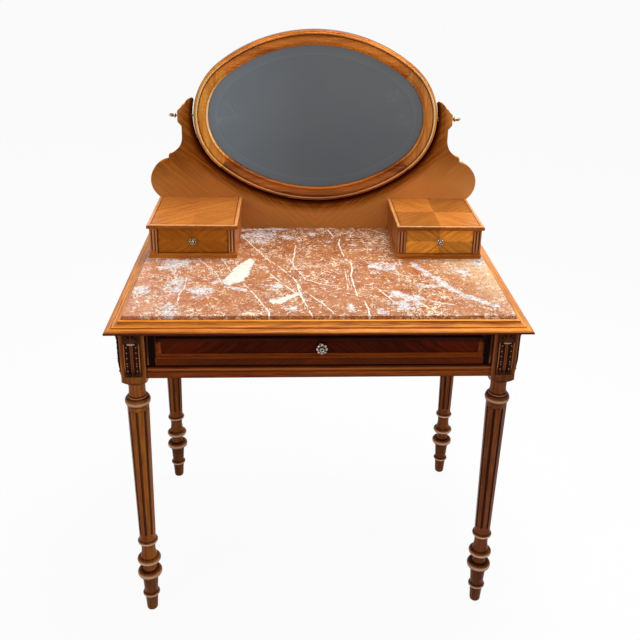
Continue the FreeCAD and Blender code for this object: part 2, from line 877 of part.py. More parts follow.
def mirror():
    """Four frame segments joined where the arcs meet, glass, backboard and pivot sockets."""
    bore = Part.makeCylinder(socket_radius, 2 * mirror_half_width + overrun,
                             at(-mirror_half_width - overrun / 2, pivot_depth, pivot_height), ACROSS)
    keep = Part.makeCylinder(socket_radius + overrun, 2 * (mirror_half_width - socket_length),
                             at(socket_length - mirror_half_width, pivot_depth, pivot_height), ACROSS)
    bore = bore.cut(keep)
    names = ("right", "top", "left", "bottom")
    for name, (centre, radius, direction, half) in zip(names, oval_arcs(0)):
        segment = frame_segment(centre, radius, direction, half)
        if name in ("left", "right"):
            segment = segment.cut(bore)
        export("mirror_frame_" + name, segment)

    seat = frame_width - rebate_width + glass_play
    front = mirror_front + frame_sight_depth
    flat = Part.makeLoft([oval_wire(seat, front + glass_thickness - glass_edge),
                          oval_wire(seat + glass_bevel, front)], True, True)
    rear = oval_plate(seat, front + glass_thickness - glass_edge, glass_edge)
    export("mirror_glass", rear.fuse(flat).removeSplitter())
    export("mirror_backboard", oval_plate(seat, front + glass_thickness, backboard_thickness))

    sockets = []
    hole_radius = screw_radius + screw_clearance
    for sign in (-1, 1):
        mouth = at(sign * mirror_half_width, pivot_depth, pivot_height)
        inward = V(-sign, 0, 0)
        tube = Part.makeCylinder(socket_radius, socket_length, mouth, inward)
        tube = tube.cut(Part.makeCylinder(hole_radius, screw_reach + running_gap, mouth, inward))
        sockets.append(tube)
    export("pivot_sockets", *sockets)


def pivots():
    """A threaded bush in each ear and a turned thumbscrew through it into the mirror's socket."""
    bushes = []
    ear_inner = mirror_half_width + mirror_gap
    for sign in (-1, 1):
        start = at(sign * ear_inner, pivot_depth, pivot_height)
        outward = V(sign, 0, 0)
        bush = Part.makeCylinder(bush_radius, ear_x - ear_inner, start, outward)
        hole = Part.makeCylinder(screw_radius + screw_clearance, ear_x - ear_inner, start, outward)
        bushes.append(bush.cut(hole))
    export("pivot_bushes", *bushes)

    tip = mirror_half_width - screw_reach
    x = ear_x + running_gap
    steps = [V(tip, 0, screw_radius), V(x, 0, screw_radius), V(x, 0, finial_neck_radius)]
    x += finial_neck_length
    steps.append(V(x, 0, finial_neck_radius))
    flare_share = 0.3
    steps.append((V(x + finial_flare_length * flare_share, 0, finial_flare_radius * (1 - flare_share)),
                  V(x + finial_flare_length, 0, finial_flare_radius)))
    x += finial_flare_length
    steps.append(V(x, 0, finial_barrel_radius))
    x += finial_barrel_length
    steps.append(V(x, 0, finial_barrel_radius))
    steps.append((V(x + finial_ring_length / 2, 0, finial_ring_radius),
                  V(x + finial_ring_length, 0, finial_barrel_radius)))
    x += finial_ring_length
    steps.append((V(x + finial_tip_length / 2, 0, finial_barrel_radius * (1 - flare_share)),
                  V(x + finial_tip_length, 0, finial_tip_radius)))
    steps.append(V(x + finial_tip_length, 0, 0))
    screw = Part.Face(closed_wire(V(tip, 0, 0), steps)).revolve(V(0, 0, 0), ACROSS, 360)
    screw.translate(at(0, pivot_depth, pivot_height))
    export("right_pivot_screw", screw)
    export("left_pivot_screw", mirrored(screw))


# Drawers

def cap_middle(reach, rise, top):
    """A point half way along a round cap of a reach and a rise, whose crown is on the axis."""
    radius = (reach * reach + rise * rise) / (2 * rise)
    half = math.asin(reach / radius) / 2
    return V(radius * math.sin(half), 0, top - radius + radius * math.cos(half))


def knob(radius, length, x, face, z):
    """A rosette knob on a drawer front: base, stem, head with a petalled rim and a small boss."""
    base = length * knob_base_length_share
    stem = base + length * knob_stem_length_share
    head = length * knob_head_length_share
    boss = radius * knob_boss_share
    steps = [V(radius * knob_base_share, 0, 0), V(radius * knob_base_share, 0, base),
             V(radius * knob_stem_share, 0, base), V(radius * knob_stem_share, 0, stem),
             V(radius * knob_rim_share, 0, stem),
             (V(radius, 0, (stem + head) / 2), V(radius * knob_rim_share, 0, head)), V(boss, 0, head),
             (cap_middle(boss, length - head, length), V(0, 0, length))]
    shape = Part.Face(closed_wire(V(0, 0, 0), steps)).revolve(V(0, 0, 0), UP, 360)
    notches = []
    for k in range(knob_petals):
        turn = 2 * math.pi * k / knob_petals
        place = V(radius * math.cos(turn), radius * math.sin(turn), 0)
        notches.append(Part.makeCylinder(radius * knob_notch_share, length, place, UP))
    shape = shape.cut(notches)
    shape.rotate(V(0, 0, 0), ACROSS, 90)
    shape.translate(at(x, face, z))
    return shape


def face_moulding():
    """Four mitred strips that frame the sunk panel of the wide drawer."""
    half = drawer_front_half - face_mould_margin
    low = drawer_front_bottom + face_mould_rise_gap
    high = drawer_front_top - face_mould_rise_gap
    w, h = face_mould_width, face_mould_height

    def strip(length):
        shoulder = face_mould_step - h
        hollow_middle = V(0, shoulder + h / 2, (w + face_mould_bead) / 2)
        section = [V(0, shoulder, 0), (V(0, -h, face_mould_bead / 2), V(0, shoulder, face_mould_bead)),
                   (hollow_middle, V(0, -face_mould_step, w)), V(0, 0, w)]
        bar = prism(V(0, 0, 0), section, V(length, 0, 0))
        plan = [V(w, -h - overrun, w), V(length - w, -h - overrun, w), V(length, -h - overrun, 0)]
        return bar.common(prism(V(0, -h - overrun, 0), plan, V(0, h + 2 * overrun, 0)))

    pieces = []
    middle = V(0, 0, (low + high) / 2)
    for angle, length, reach in ((0, 2 * half, (high - low) / 2), (90, high - low, half),
                                 (180, 2 * half, (high - low) / 2), (270, high - low, half)):
        piece = strip(length)
        piece.translate(V(-length / 2, 0, -reach))
        piece.rotate(V(0, 0, 0), BACKWARD, angle)
        piece.translate(middle + at(0, drawer_face, 0))
        pieces.append(piece)
    export("main_drawer_moulding", *pieces)


def dovetail_tongue(middle, low, high):
    """The upright tongue of a drawer side, wider at its tip, that slides up into the front."""
    root = drawer_side_thickness * drawer_tongue_root_share / 2
    end = drawer_side_thickness * drawer_tongue_share / 2
    tip = drawer_face_back - drawer_tongue_length
    start = at(middle - root, drawer_face_back, low)
    steps = [at(middle - end, tip, low), at(middle + end, tip, low),
             at(middle + root, drawer_face_back, low)]
    return prism(start, steps, V(0, 0, high - low))


def main_drawer():
    """The wide drawer: sides tongued into the front, bottom and back in grooves, moulding, knob."""
    outer = drawer_half_width
    inner = outer - drawer_side_thickness
    grooved = inner + drawer_groove_depth
    rear = drawer_face_back + drawer_length
    low = drawer_side_bottom
    high = low + drawer_side_height
    floor = low + drawer_bottom_lift
    floor_top = floor + drawer_bottom_thickness
    bottom = block((-grooved, grooved), (drawer_face_back - drawer_groove_depth, rear), (floor, floor_top))
    back = block((-grooved, grooved), (rear - drawer_back_thickness, rear), (floor_top, high))
    front = block((-drawer_front_half, drawer_front_half), (drawer_face, drawer_face_back),
                  (drawer_front_bottom, drawer_front_top)).cut(bottom)
    for side, sign in (("left", -1), ("right", 1)):
        middle = sign * (inner + outer) / 2
        front = front.cut(dovetail_tongue(middle, drawer_front_bottom - overrun, high))
        panel = block((sign * outer, sign * inner), (drawer_face_back, rear), (low, high))
        panel = panel.fuse(dovetail_tongue(middle, low, high)).removeSplitter().cut([bottom, back])
        export("main_drawer_" + side + "_side", panel)
    export("main_drawer_front", front)
    export("main_drawer_bottom", bottom)
    export("main_drawer_back", back)
    face_moulding()
    knob_height = drawer_front_bottom + (drawer_front_top - drawer_front_bottom) * knob_rise_share
    export("main_drawer_knob", knob(knob_radius, knob_length, 0, drawer_face, knob_height))


def small_drawer(side, sign):
    """One small drawer inside its box: sides lapped into the front, bottom and back in grooves."""
    middle = sign * (box_inner_x + box_outer_x) / 2
    opening = (box_outer_x - box_inner_x) / 2 - box_side_inset - box_side_thickness
    face = box_front + small_front_setback
    back = face + small_front_thickness
    rear = back + small_length
    low = box_floor + running_gap
    name = side + "_drawer_"
    half = opening - small_front_gap
    outer = opening - small_side_play
    inner = outer - small_side_thickness
    grooved = inner + small_groove_depth
    lap = back - small_rebate_depth
    top = low + small_side_height
    floor = low + small_bottom_lift
    floor_top = floor + small_bottom_thickness
    bottom = block((middle - grooved, middle + grooved), (back - small_groove_depth, rear),
                   (floor, floor_top))
    rear_panel = block((middle - grooved, middle + grooved), (rear - small_side_thickness, rear),
                       (floor_top, top))
    front = block((middle - half, middle + half), (face, back), (low, box_plate_bottom - small_front_gap))
    front = front.cut(bottom)
    for hand, way in (("left", -1), ("right", 1)):
        rebate = block((middle + way * inner, middle + way * (half + overrun)), (lap, back + overrun),
                       (low - overrun, top))
        front = front.cut(rebate)
        panel = block((middle + way * outer, middle + way * inner), (lap, rear), (low, top))
        export(name + hand + "_side", panel.cut([bottom, rear_panel]))
    export(name + "front", front)
    export(name + "bottom", bottom)
    export(name + "back", rear_panel)
    knob_height = (box_floor + box_plate_bottom) / 2
    export(name + "knob", knob(small_knob_radius, small_knob_length, middle, face, knob_height))


# Small boxes

def pilaster_side(outer_face, inner_face):
    """A box side whose front edge is cut with two stopped flutes."""
    front = box_front + box_side_setback
    side = block((outer_face, inner_face), (front, board_front), (box_floor, box_plate_bottom))
    middle = (outer_face + inner_face) / 2
    low = box_floor + pilaster_flute_margin + pilaster_flute_radius
    high = box_plate_bottom - pilaster_flute_margin - pilaster_flute_radius
    depth = front - pilaster_flute_radius + pilaster_flute_depth
    cutters = []
    for shift in (-pilaster_flute_shift, pilaster_flute_shift):
        start = at(middle + shift, depth, low)
        end = at(middle + shift, depth, high)
        cutters += [Part.makeCylinder(pilaster_flute_radius, high - low, start, UP),
                    Part.makeSphere(pilaster_flute_radius, start),
                    Part.makeSphere(pilaster_flute_radius, end)]
    return side.cut(cutters)


def box_plate():
    """The top plate of the left box: rounded outer edges and a groove inside a raised border."""
    low_x = -box_outer_x - box_plate_overhang
    high_x = -box_inner_x + box_plate_overhang
    front = box_front - box_plate_overhang
    plate = block((low_x, high_x), (front, board_front), (box_plate_bottom, box_top))
    rear_y = front_y + board_front
    rim = [e for e in plate.Edges if abs(e.BoundBox.ZMin - box_top) < same_point
           and e.BoundBox.YMin < rear_y - same_point]
    plate = plate.makeFillet(box_plate_round, rim)
    inset = box_plate_groove_inset
    width = box_plate_groove_width
    depth = (box_top - box_plate_groove_depth, box_top + overrun)
    ring = block((low_x + inset, high_x - inset), (front + inset, board_front + overrun), depth)
    ring = ring.cut(block((low_x + inset + width, high_x - inset - width),
                          (front + inset + width, board_front + 2 * overrun), depth))
    return plate.cut(ring)


def small_boxes():
    """Both boxes on the marble, closed behind by the back board."""
    base = block((-box_outer_x, -box_inner_x), (box_front, board_front), (table_height, box_floor))
    front_edge = [e for e in base.Edges if e.BoundBox.ZMin > box_floor - same_point
                  and e.BoundBox.YMax < front_y + box_front + same_point]
    export_pair("box_base", base.makeFillet(box_base_nosing, front_edge))
    outer = -box_outer_x + box_side_inset
    inner = -box_inner_x - box_side_inset
    export_pair("box_outer_side", pilaster_side(outer, outer + box_side_thickness))
    export_pair("box_inner_side", pilaster_side(inner - box_side_thickness, inner))
    export_pair("box_top", box_plate())


legs()
block_plaques()
aprons()
front_top_rail()
runners()
top_border()
marble_top()
back_board()
back_battens()
mirror()
pivots()
main_drawer()
small_drawer("left", -1)
small_drawer("right", 1)
small_boxes()
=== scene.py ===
# %% [markdown]
# A walnut dressing table with a marble top and an oval mirror.
# The shape of every wooden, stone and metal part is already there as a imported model. It is loaded first
# and stays where it is. This script gives each part its finish, and adds the carving, the pearl rows, the
# rosette knobs, the pins and the slots that are too fine for the solid model.

import math

import bmesh
import bpy
import numpy as np
from mathutils import Matrix, Vector


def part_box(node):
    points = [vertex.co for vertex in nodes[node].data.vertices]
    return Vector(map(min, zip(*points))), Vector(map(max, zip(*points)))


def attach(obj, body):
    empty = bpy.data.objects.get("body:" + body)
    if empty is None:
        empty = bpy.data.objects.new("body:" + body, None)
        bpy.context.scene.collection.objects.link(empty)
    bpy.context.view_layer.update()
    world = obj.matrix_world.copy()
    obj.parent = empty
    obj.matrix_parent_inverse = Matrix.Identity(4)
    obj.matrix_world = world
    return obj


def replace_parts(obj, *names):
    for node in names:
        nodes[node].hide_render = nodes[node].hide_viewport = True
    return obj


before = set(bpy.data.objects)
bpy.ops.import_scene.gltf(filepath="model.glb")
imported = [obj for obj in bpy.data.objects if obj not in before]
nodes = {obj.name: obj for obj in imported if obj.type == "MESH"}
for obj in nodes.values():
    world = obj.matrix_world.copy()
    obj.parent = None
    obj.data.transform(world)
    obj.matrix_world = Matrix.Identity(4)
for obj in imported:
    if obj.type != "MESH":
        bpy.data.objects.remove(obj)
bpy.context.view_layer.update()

# %% [markdown]
# Sizes are easier to think about in millimetres, so one value turns them into Blender's metres. Places are
# counted from the front edge of the table's top, which is the nearest point of the front moulding.

# %% Units and two places
MM = 0.001
front_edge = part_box("top_front_moulding")[0].y
marble_low, marble_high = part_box("marble_top")


def box_mm(node):
    """A node's lowest and highest corners, in millimetres."""
    return [Vector(corner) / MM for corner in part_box(node)]


print("front edge at", round(front_edge, 4), "marble surface at", round(marble_high.z, 4))

# %% [markdown]
# The camera stands where the photographer stood: a little left of the middle, 1.45 m in front of the table,
# at eye height, looking down. The angles in radians and the focal length were worked out once from the
# corners of the slab, the rims of the oval and the feet. The focal length and the crop are counted in
# pixels of the picture, which was cropped off centre. The camera's two shifts repeat that.

# %% Camera
CAMERA_PLACE = Vector((-0.0712, front_edge - 1.4539, 1.4860))
LOOK_RIGHT = 0.0767
LOOK_DOWN = 0.3722
LEAN = 0.0320
PICTURE_WIDTH = 640
FOCAL_LENGTH = 818.75
CROP_ACROSS = -25.8
CROP_UP = -70
SENSOR_WIDTH = 36


def new_object(name, data):
    """An object in the scene for a mesh, a camera or a lamp."""
    made = bpy.data.objects.new(name, data)
    bpy.context.scene.collection.objects.link(made)
    return made


forward = Vector((math.sin(LOOK_RIGHT) * math.cos(LOOK_DOWN), math.cos(LOOK_RIGHT) * math.cos(LOOK_DOWN),
                  -math.sin(LOOK_DOWN)))
level = Vector((math.cos(LOOK_RIGHT), -math.sin(LOOK_RIGHT), 0))
upright = level.cross(forward)
right = level * math.cos(LEAN) + upright * math.sin(LEAN)
above = upright * math.cos(LEAN) - level * math.sin(LEAN)

camera_data = bpy.data.cameras.new("camera")
camera_data.sensor_width = SENSOR_WIDTH
camera_data.lens = SENSOR_WIDTH * FOCAL_LENGTH / PICTURE_WIDTH
camera_data.shift_x = CROP_ACROSS / PICTURE_WIDTH
camera_data.shift_y = CROP_UP / PICTURE_WIDTH
camera = new_object("camera", camera_data)
camera.matrix_world = Matrix.Translation(CAMERA_PLACE) @ Matrix((right, above, -forward)).transposed().to_4x4()
bpy.context.scene.camera = camera
bpy.context.scene.view_settings.view_transform = "Standard"
print("lens", round(camera_data.lens, 2), "mm")

# %% [markdown]
# Shader trees are wordy to write, so small helpers keep them short. One adds a node and fills its inputs: a
# value is set, a socket is linked. The others do arithmetic, and turn a soft edge into a firm one, which is
# how veins and flecks get their outline. They serve geometry trees just as well.

# %% Helpers for node trees
def add(tree, kind, inputs=None, **settings):
    """A node with its settings; each input takes a value or another node's output."""
    node = tree.nodes.new(kind)
    for name, value in settings.items():
        setattr(node, name, value)
    for name, value in (inputs or {}).items():
        socket = node.inputs[name]
        if isinstance(value, bpy.types.NodeSocket):
            tree.links.new(value, socket)
        else:
            socket.default_value = value
    return node


def sums(tree, operation, a, b=0.0, c=0.0):
    """One step of arithmetic on one, two or three values or sockets."""
    return add(tree, "ShaderNodeMath", {0: a, 1: b, 2: c}, operation=operation).outputs[0]


def less(tree, a, b):
    return sums(tree, "SUBTRACT", a, b)


def times(tree, a, b):
    return sums(tree, "MULTIPLY", a, b)


def apart(tree, a, b):
    """How far two values lie apart."""
    return sums(tree, "ABSOLUTE", less(tree, a, b))


def slope(tree, a, b):
    """The long side of a right-angled triangle with the sides a and b."""
    return sums(tree, "SQRT", sums(tree, "MULTIPLY_ADD", a, a, times(tree, b, b)))


def between(tree, share, start, end):
    """The start where the share is 0, the end where it is 1."""
    return sums(tree, "MULTIPLY_ADD", less(tree, end, start), share, start)


def steps(tree, value, low, high, start=0.0, end=1.0):
    """A value mapped smoothly from one range to another."""
    node = add(tree, "ShaderNodeMapRange", {"Value": value, "From Min": low, "From Max": high,
                                            "To Min": start, "To Max": end}, interpolation_type="SMOOTHSTEP")
    return node.outputs[0]

# %% [markdown]
# A pattern that reads Object coordinates stays with its piece when the piece moves. The next helpers give the
# place on a piece, split it into its three coordinates, and start a material.

# %% Helpers for places and materials
def object_place(tree):
    """The place on the piece, which moves with it."""
    return add(tree, "ShaderNodeTexCoord").outputs["Object"]


def parts(tree, place, unit=1.0):
    """The three coordinates of a place; with a unit of one millimetre they count millimetres."""
    if unit != 1.0:
        place = add(tree, "ShaderNodeVectorMath", {0: place, "Scale": 1 / unit}, operation="SCALE").outputs[0]
    return add(tree, "ShaderNodeSeparateXYZ", {0: place}).outputs


def place_mm(tree):
    """The three coordinates of the place on the piece, in millimetres."""
    return parts(tree, object_place(tree), MM)


def new_material(name):
    """An empty material with a Principled shader; returns the material, its tree and the shader."""
    material = bpy.data.materials.new(name)
    material.use_nodes = True
    tree = material.node_tree
    return material, tree, tree.nodes["Principled BSDF"]


def set_inputs(shader, **values):
    """Values that are the same all over a surface, set on the shader's own sockets."""
    for name, value in values.items():
        shader.inputs[name.replace("_", " ")].default_value = value

# %% [markdown]
# The studio is a pale floor under a pale sky. What the camera, a polished face or the mirror sees of them is
# white, a touch greyer near the horizon where the two meet, and adds no light to the wood. For the wood the
# sky is a faint even light, and the floor takes the shadow of the table.

# %% Room: floor and sky
FLOOR_WIDTH = 60.0
FLOOR_WHITE = 0.9
SHADOW_SHARE = 0.06
SKY_LIGHT = 0.22
HORIZON_SHARE = 0.955
HORIZON_REACH = 0.3
WHITE_LIGHT = (1, 1, 1, 1)


def seen_directly(tree):
    """1 where a camera, mirror or glass ray looks, and 0 where light is gathered."""
    path = add(tree, "ShaderNodeLightPath")
    looks = sums(tree, "MAXIMUM", path.outputs["Is Camera Ray"], path.outputs["Is Glossy Ray"])
    return sums(tree, "MAXIMUM", looks, path.outputs["Is Transmission Ray"])


def floor_material():
    material, tree, shader = new_material("pale_floor")
    set_inputs(shader, Base_Color=(FLOOR_WHITE, FLOOR_WHITE, FLOOR_WHITE, 1), Roughness=0.9, Specular_IOR_Level=0.0)
    glow = add(tree, "ShaderNodeEmission", {"Color": WHITE_LIGHT, "Strength": 1.0})
    share = times(tree, seen_directly(tree), 1 - SHADOW_SHARE)
    mixed = add(tree, "ShaderNodeMixShader", {0: share, 1: shader.outputs[0], 2: glow.outputs[0]})
    tree.links.new(mixed.outputs[0], tree.nodes["Material Output"].inputs["Surface"])
    return material


def card(name, corners, material):
    """A flat sheet with four corners."""
    mesh = bpy.data.meshes.new(name)
    mesh.from_pydata(corners, [], [(0, 1, 2, 3)])
    mesh.materials.append(material)
    return new_object(name, mesh)


half = FLOOR_WIDTH / 2
floor = card("floor", [(-half, -half, 0), (half, -half, 0), (half, half, 0), (-half, half, 0)], floor_material())

world = bpy.data.worlds.new("sky")
bpy.context.scene.world = world
world.use_nodes = True
sky_tree = world.node_tree
sky = sky_tree.nodes["Background"]
sky.inputs["Color"].default_value = WHITE_LIGHT
height = parts(sky_tree, add(sky_tree, "ShaderNodeTexCoord").outputs["Generated"])[2]
looks_like = steps(sky_tree, height, 0.0, HORIZON_REACH, HORIZON_SHARE - SKY_LIGHT, 1 - SKY_LIGHT)
brightness = sums(sky_tree, "MULTIPLY_ADD", seen_directly(sky_tree), looks_like, SKY_LIGHT)
sky_tree.links.new(brightness, sky.inputs["Strength"])
print("floor", FLOOR_WIDTH, "m wide, light of the sky", SKY_LIGHT)

# %% [markdown]
# Three lamps do the lighting: a large soft one overhead, a small bright one at the right that gives polished
# rims their sparkle, and a soft one at the left. Places and sizes are in metres, the power is in watts.

# %% Room: lamps
LAMPS = {
    "overhead": {"place": (0.35, 0.30, 2.7), "aim": (0, 0.0, 0.75), "size": 1.5, "power": 60},
    "key": {"place": (1.5, -1.6, 2.3), "aim": (0, 0, 0.8), "size": 0.5, "power": 9},
    "left_soft": {"place": (-1.5, -1.8, 1.7), "aim": (0, 0, 0.6), "size": 0.9, "power": 11},
}

for name, lamp in LAMPS.items():
    light = bpy.data.lights.new(name, "AREA")
    light.size = lamp["size"]
    light.energy = lamp["power"]
    holder = new_object(name, light)
    holder.location = lamp["place"]
    holder.rotation_euler = (Vector(lamp["aim"]) - Vector(lamp["place"])).to_track_quat("-Z", "Y").to_euler()
print("lamps:", list(LAMPS))

# %% [markdown]
# The mirror in the photograph shows no bright studio, only a dim wall behind the photographer. A card in
# front of the table stands for it. Only reflections see it. It is a little lighter and bluer at its left and
# a little darker near the floor, as the reflection is.
# Colours are named as the eye sees them, from 0 to 255, and made linear for the shader.

# %% Room: the dim wall
WALL_DISTANCE = 2.0
WALL_HEIGHT = 2.4
WALL_WIDTH = 5.0
WALL_TURNS_GREY = (-0.65, 0.1)
WALL_LOW_END = (0.35, 1.1)
WALL_LOW_SHARE = 0.78
UNSEEN_BY = ("camera", "diffuse", "transmission", "shadow")


def shade(red, green, blue):
    """A colour as the eye names it, from 0 to 255, made linear for the shader."""
    linear = [(c / 255 / 12.92) if c <= 10 else ((c / 255 + 0.055) / 1.055) ** 2.4 for c in (red, green, blue)]
    return (*linear, 1.0)


def colours(tree, factor, a, b, mode="MIX"):
    """Two colours mixed by a factor."""
    node = add(tree, "ShaderNodeMix", {0: factor, 6: a, 7: b}, data_type="RGBA", blend_type=mode)
    return node.outputs[2]


def wall_material():
    material, tree, _ = new_material("dim_room")
    x, _, z = parts(tree, object_place(tree))
    colour = colours(tree, steps(tree, x, *WALL_TURNS_GREY), shade(119, 125, 130), shade(105, 106, 108))
    glow = add(tree, "ShaderNodeEmission", {"Color": colour, "Strength": steps(tree, z, *WALL_LOW_END,
                                                                               WALL_LOW_SHARE, 1.0)})
    tree.links.new(glow.outputs[0], tree.nodes["Material Output"].inputs["Surface"])
    return material


wall_y = front_edge - WALL_DISTANCE
half = WALL_WIDTH / 2
wall = card("dim_wall", [(-half, wall_y, WALL_HEIGHT), (half, wall_y, WALL_HEIGHT), (half, wall_y, 0),
                         (-half, wall_y, 0)], wall_material())
for ray in UNSEEN_BY:
    setattr(wall, "visible_" + ray, False)
print("the dim wall is seen by glossy rays only:", wall.visible_glossy)

# %% [markdown]
# All the wood is walnut or walnut veneer, so one node group draws its figure: broad bands, finer growth
# lines, and short dark pores, all stretched along the grain. The group gives a figure mask, a pore mask and
# a height. Each material chooses its own colours and its own grain direction, as a cabinet maker would.

# %% Walnut figure as a node group
BAND_SHARE, LINE_SHARE = 0.55, 0.45
PORE_STRETCH, PORE_SCALE = 0.055, 950.0
FIGURE_HEIGHT = 0.25


def sockets(tree, inputs=(), outputs=()):
    """The named inputs (name, kind, value) and outputs (name, kind) of a node group."""
    for name, kind, value in inputs:
        socket = tree.interface.new_socket(name, in_out="INPUT", socket_type="NodeSocket" + kind)
        if value is not None:
            socket.default_value = value
    for name, kind in outputs:
        tree.interface.new_socket(name, in_out="OUTPUT", socket_type="NodeSocket" + kind)


def noise(tree, place, scale, detail=2.0, roughness=0.5, distortion=0.0):
    """The value of a noise texture."""
    return add(tree, "ShaderNodeTexNoise", {"Vector": place, "Scale": scale, "Detail": detail,
                                            "Roughness": roughness, "Distortion": distortion}).outputs[0]


def walnut_group():
    tree = bpy.data.node_groups.new("walnut_figure", "ShaderNodeTree")
    sockets(tree, [("Grain Place", "Vector", None), ("Band Scale", "Float", 24.0), ("Line Scale", "Float", 210.0),
                   ("Stretch", "Float", 0.06), ("Wander", "Float", 0.012)],
            [("Figure", "Float"), ("Pores", "Float"), ("Height", "Float")])
    entry = add(tree, "NodeGroupInput")
    place = entry.outputs["Grain Place"]
    drift = add(tree, "ShaderNodeTexNoise", {"Vector": place, "Scale": 5.0, "Detail": 2.0})
    drift = add(tree, "ShaderNodeVectorMath", {0: drift.outputs["Color"], 1: (0.5, 0.5, 0.5)}, operation="SUBTRACT")
    drift = add(tree, "ShaderNodeVectorMath", {0: drift.outputs[0], "Scale": entry.outputs["Wander"]},
                operation="SCALE")
    place = add(tree, "ShaderNodeVectorMath", {0: place, 1: drift.outputs[0]}, operation="ADD").outputs[0]
    x, y, z = parts(tree, place)

    def stretched(share):
        return add(tree, "ShaderNodeCombineXYZ", {0: times(tree, x, share), 1: y, 2: z}).outputs[0]

    grain = stretched(entry.outputs["Stretch"])
    bands = noise(tree, grain, entry.outputs["Band Scale"], 3.0, 0.55, 0.4)
    lines = noise(tree, grain, entry.outputs["Line Scale"], 4.0, 0.65)
    figure = sums(tree, "MULTIPLY_ADD", steps(tree, bands, 0.36, 0.64), BAND_SHARE,
                  times(tree, steps(tree, lines, 0.35, 0.65), LINE_SHARE))
    pores = steps(tree, noise(tree, stretched(PORE_STRETCH), PORE_SCALE, 2.0), 0.60, 0.72)
    height = less(tree, times(tree, figure, FIGURE_HEIGHT), pores)
    add(tree, "NodeGroupOutput", {"Figure": figure, "Pores": pores, "Height": height})
    return tree


walnut_figure = walnut_group()
print("walnut group with", len(walnut_figure.nodes), "nodes")

# %% [markdown]
# The mirror is an oval of four compass arcs, so the distance in from its outer edge is easy to work out: a
# point belongs either to the small arc at the end or to the large arc above or below. The frame's mouldings
# and the line of the bevel all lie at fixed distances from that edge, and the shadow on the board lies
# outside it, so their materials share this group.

# %% Distance from the mirror's edge as a node group
OVAL_END_SHARE = 0.7746
frame_low, frame_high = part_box("mirror_frame_left")[0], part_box("mirror_frame_right")[1]
oval_low, oval_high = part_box("mirror_frame_bottom")[0].z / MM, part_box("mirror_frame_top")[1].z / MM
oval_middle = (oval_low + oval_high) / 2
oval_half_height = (oval_high - oval_low) / 2
oval_half_width = (frame_high.x - frame_low.x) / 2 / MM
end_radius = oval_half_height * OVAL_END_SHARE
end_centre = oval_half_width - end_radius
rest = oval_half_height - end_radius
far_centre = (end_centre ** 2 - rest ** 2) / (2 * rest)
far_radius = oval_half_height + far_centre


def oval_group():
    tree = bpy.data.node_groups.new("oval_depth", "ShaderNodeTree")
    sockets(tree, [("Place", "Vector", None)], [("Depth", "Float")])
    x, _, z = parts(tree, add(tree, "NodeGroupInput").outputs["Place"], MM)
    across = sums(tree, "ABSOLUTE", x)
    up = apart(tree, z, oval_middle)

    def reach(centre_across, centre_up):
        return slope(tree, less(tree, across, centre_across), less(tree, up, centre_up))

    by_end = less(tree, end_radius, reach(end_centre, 0.0))
    by_far = less(tree, far_radius, reach(0.0, -far_centre))
    turn = less(tree, times(tree, sums(tree, "ADD", up, far_centre), end_centre), times(tree, across, far_centre))
    at_end = sums(tree, "LESS_THAN", turn, 0.0)
    add(tree, "NodeGroupOutput", {"Depth": between(tree, at_end, by_far, by_end)})
    return tree


oval_depth = oval_group()


def depth_in_oval(tree):
    """How far in from the mirror's outer edge the place lies, in millimetres; outside it is negative."""
    return add(tree, "ShaderNodeGroup", {"Place": object_place(tree)}, node_tree=oval_depth).outputs["Depth"]


print("oval radii", round(end_radius, 1), round(far_radius, 1))

# %% [markdown]
# A wood material needs to know which way its board was cut. The grain is laid along X inside the group, so
# the material turns its own place first: by swapping axes for rails, aprons and legs, and by a turn for
# veneer laid at a slant. Book-matched veneer is one sheet opened like a book: taking the distance from the
# seam instead of the place gives exactly that mirrored figure.

# %% Grain direction
AXES = {"X": (0, 1, 2), "Y": (1, 2, 0), "Z": (2, 0, 1)}


def grain_place(tree, along="X", seams=None, slant=0.0, face="XZ"):
    """The place on a board with its grain laid along X: seams are folded, then slanted veneer is turned."""
    values = list(parts(tree, object_place(tree)))
    for axis, seam in (seams or {}).items():
        values["XYZ".index(axis)] = apart(tree, values["XYZ".index(axis)], seam)
    place = add(tree, "ShaderNodeCombineXYZ", {i: values[axis] for i, axis in enumerate(AXES[along])}).outputs[0]
    if slant:
        turn = (0, math.radians(slant), 0) if face == "XZ" else (0, 0, -math.radians(slant))
        place = add(tree, "ShaderNodeMapping", {"Vector": place, "Rotation": turn}).outputs[0]
    return place


print("grain can run along", ", ".join(AXES))

# %% [markdown]
# A relief is a function that gives each place a tone. Under a half the wood is darkened towards a dark colour: this is
# painted shade in the hollows of a moulding, in gaps and under overhangs, with some old polish gathered there. Over a
# half it is made pale: this is painted highlight on rims and edges, with some wear. Most reliefs look the tone up in a
# list of (place in mm, tone). Quartered veneer has a chequer: its neighbouring fields are a little lighter and darker
# in turn.

# %% Wood materials
PORE_DARKNESS, PORE_SHADE, PORE_ROUGHNESS = 0.5, 0.25, 0.25
BUMP_STRENGTH, BUMP_DISTANCE = 0.15, 0.0004
RUBBED_COAT, COAT_ROUGHNESS = 0.6, 0.16


def grey_ramp(tree, value, stops):
    """A value looked up between (place, tone) stops."""
    low, high = stops[0][0], stops[-1][0]
    share = add(tree, "ShaderNodeMapRange", {"Value": value, "From Min": low, "From Max": high}).outputs[0]
    ramp = add(tree, "ShaderNodeValToRGB", {"Fac": share})
    elements = ramp.color_ramp.elements
    elements.remove(elements[1])
    for k, (place, tone) in enumerate(stops):
        element = elements[0] if k == 0 else elements.new((place - low) / (high - low))
        element.color = (tone, tone, tone, 1)
    return ramp.outputs[0]


def darker(colour, share):
    return tuple(c * share for c in colour[:3]) + (1.0,)


